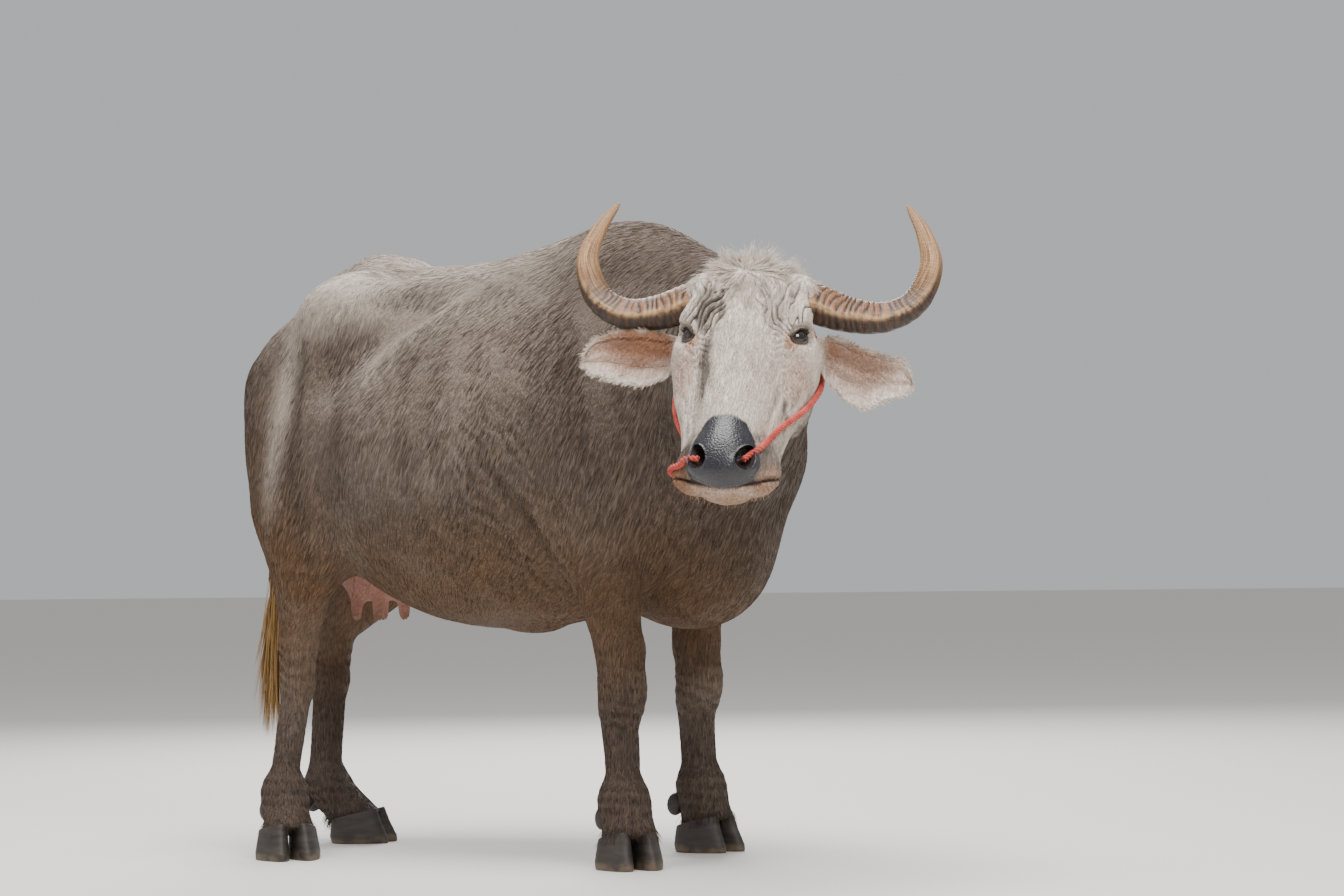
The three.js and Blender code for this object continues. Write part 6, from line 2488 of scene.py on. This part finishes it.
@dataclass(frozen=True)
class EyeFinish(Finish):
    """A dark brown eye with a long pupil, under a clear wet surface."""

    pupil: Tint = colour(6, 5, 6)
    iris: Tint = colour(74, 44, 24)
    edge: Tint = colour(22, 14, 10)
    white: Tint = colour(128, 96, 80)
    pupil_size: Triple = (1.55, 2.6, 0.0)

    def paint(self, t: Surface) -> None:
        """Lays pupil, iris, its dark edge and the white round the middle of the eye."""
        place = t.attribute("eye")["Vector"]
        flat = t.stretched(place, (1.0, 1.0, 0.0))
        reach = t.reach(flat)
        slit = t.reach(t.stretched(place, self.pupil_size))
        rays = t.noise(t.node("VectorMath", {0: flat}, operation="NORMALIZE").outputs[0], 14.0)
        iris = t.mix(t.band(t.plus(rays, t.times(reach, -0.25)), 0.2, 0.75), self.edge, self.iris)
        tint = t.mix(t.band(slit, 0.95, 1.12), self.pupil, iris)
        tint = t.mix(t.band(reach, 0.86, 0.98), tint, self.edge)
        tint = t.mix(t.band(reach, 1.06, 1.3), tint, self.white)
        t.set(Base_Color=tint, Roughness=0.09, Coat_Weight=1.0, Coat_Roughness=0.03)


@dataclass(frozen=True)
class ClawFinish(Finish):
    """Dark grey horn of the hooves, dusty towards the ground."""

    dark: Tint = colour(38, 34, 32)
    grey: Tint = colour(70, 61, 54)
    dust: Tint = colour(98, 84, 68)
    dusty_below: float = 0.035
    depth: float = 0.0012

    def paint(self, t: Surface) -> None:
        """Lays growth rings, patches and dust over each other."""
        place = t.place()
        height = t.node("SeparateXYZ", {0: place}).outputs[2]
        rings = t.noise(t.stretched(place, (20.0, 20.0, 90.0)), 1.0, 5.0)
        patch = t.noise(place, 38.0, 4.0)
        base = t.mix(t.band(rings, 0.2, 1.0), self.dark, self.grey)
        low = t.times(t.band(height, self.dusty_below, 0.0), patch)
        base = t.mix(t.band(t.plus(low, t.times(patch, 0.4)), 0.35, 0.85), base, self.dust)
        t.set(Base_Color=base, Roughness=0.58)
        t.bump(t.plus(rings, t.times(patch, 0.6)), self.depth)


@dataclass(frozen=True)
class RopeFinish(Finish):
    """Faded red cord."""

    light: Tint = colour(214, 96, 84)
    deep: Tint = colour(150, 44, 40)
    depth: float = 0.0006

    def paint(self, t: Surface) -> None:
        """Fades the red by fibres and worn patches."""
        place = t.place()
        fibre = t.noise(place, 900.0)
        share = t.plus(t.times(fibre, 0.6), t.times(t.noise(place, 40.0, 3.0), 0.5))
        t.set(Base_Color=t.mix(t.band(share, 0.35, 0.75), self.deep, self.light), Roughness=0.8)
        t.bump(fibre, self.depth)


@dataclass(frozen=True)
class FloorFinish(Finish):
    """Plain pale floor."""

    tint: Tint = colour(226, 223, 218)

    def paint(self, t: Surface) -> None:
        """Sets the one colour."""
        t.set(Base_Color=self.tint, Roughness=0.85)


# Studio and camera


@dataclass(frozen=True)
class Lamp:
    """A large soft light that faces the animal."""

    name: str
    at: Triple
    size: float
    watts: float
    tint: Triple
    aim: Triple = (0.0, 0.0, 0.7)

    def build(self) -> None:
        """Adds the light."""
        light = bpy.data.lights.new(self.name, "AREA")
        light.shape = "SQUARE"
        light.size, light.energy, light.color = self.size, self.watts, self.tint
        turn = (Vector(self.aim) - Vector(self.at)).to_track_quat("-Z", "Y").to_matrix().to_4x4()
        linked(self.name, light).matrix_world = Matrix.Translation(self.at) @ turn


@dataclass(frozen=True)
class Studio:
    """A plain pale floor under soft light from above."""

    half: float = 40.0
    lamps: tuple[Lamp, ...] = (
        Lamp("top", (0.2, -0.8, 5.2), 3.4, 400, (1.0, 0.98, 0.95), (-0.1, 0.0, 0.6)),
        Lamp("key", (4.4, -3.2, 3.9), 2.2, 190, (1.0, 0.97, 0.92)),
        Lamp("fill", (-3.6, -5.0, 2.2), 3.4, 20, (0.93, 0.96, 1.0)),
        Lamp("rim", (-2.6, 4.2, 3.6), 2.4, 260, (0.97, 0.98, 1.0)),
    )
    glow: float = 0.55

    def build(self) -> None:
        """Adds floor, lights and the light of the room."""
        h = self.half
        corners = np.array([(-h, -h, 0), (h, -h, 0), (h, h, 0), (-h, h, 0)], float)
        floor = new_object("studio_floor", corners, np.array([(0, 1, 2), (0, 2, 3)]))
        floor.data.materials.append(FloorFinish("floor").build())
        for lamp in self.lamps:
            lamp.build()
        world = bpy.data.worlds.new("room")
        bpy.context.scene.world = world
        world.use_nodes = True
        back = world.node_tree.nodes["Background"]
        back.inputs["Color"].default_value = (0.92, 0.93, 0.95, 1.0)
        back.inputs["Strength"].default_value = self.glow


@dataclass(frozen=True)
class Camera:
    """The view of the photograph, with its place in the animal's frame."""

    at: Triple = (3.99337, -6.28393, 0.61436)
    yaw: float = 122.5495
    pitch: float = 1.5923
    roll: float = -0.9305
    lens: float = 100.0

    def build(self) -> None:
        """Adds the camera and makes it the scene's."""
        yaw, pitch, roll = (math.radians(v) for v in (self.yaw, self.pitch, self.roll))
        ahead = np.array([math.cos(pitch) * math.cos(yaw), math.cos(pitch) * math.sin(yaw), math.sin(pitch)])
        level = unit(np.cross(ahead, UP))
        upright = np.cross(level, ahead)
        right = math.cos(roll) * level + math.sin(roll) * upright
        up = math.cos(roll) * upright - math.sin(roll) * level
        made = bpy.data.cameras.new("photo_view")
        made.lens, made.sensor_width = self.lens, 36.0
        made.dof.use_dof = False
        view = linked("photo_view", made)
        place = np.eye(4)
        place[:3, :3] = np.stack([right, up, -ahead], 1)
        place[:3, 3] = np.array(self.at) + SHIFT
        view.matrix_world = Matrix(place)
        bpy.context.scene.camera = view


def main() -> None:
    """Builds every part of the picture in turn."""
    make_effects()
    flesh = whole_flesh()
    folds = Folds(flesh)
    hide = Hide(flesh, folds, Markings())
    sheet = hide.sheet()
    marks = hide.marks(sheet)
    skin = new_object("hide", placed(sheet.points), sheet.triangles())
    carry_marks(skin, marks)
    write_values(skin, "comb", "FLOAT_VECTOR", combed(sheet.points))
    legs = [f"leg_{name}" for name in LEGS]
    flesh_nodes = ["torso", "neck", "head", "ear_left", "ear_right", *legs, "tail", "udder"]
    finish_piece(skin, HideFinish("hide").build(), flesh_nodes)
    coat = Coat(Ground(sheet, marks), flesh, folds)
    coat.dress(HairFinish("hair").build(), SwitchFinish("tail_hair").build())
    horn = HornFinish("horn").build()
    eye = EyeFinish("eye").build()
    claw = ClawFinish("claw").build()
    for name, side in SIDES:
        finish_piece(Horn(side).build(f"horn_sweep_{name}"), horn, [f"horn_{name}"])
        finish_piece(Eyeball(side).build(f"eye_ball_{name}"), eye, [f"eye_{name}"])
    for name, leg in LEGS.items():
        for inner, end in ((False, "outer"), (True, "inner")):
            finish_piece(Claw(leg, inner).build(f"hoof_{name}_{end}"), claw, [f"claw_{name}_{end}"])
            spur = Dewclaw(leg, inner).build(f"spur_{name}_{end}")
            finish_piece(spur, claw, [f"dewclaw_{name}_{end}"])
    finish_piece(NoseRope(flesh).build(), RopeFinish("rope").build(), ["nose_rope"])
    Studio().build()
    Camera().build()


if __name__ == "__main__":
    logging.basicConfig(level=logging.INFO, format="%(name)s: %(message)s")
    main()
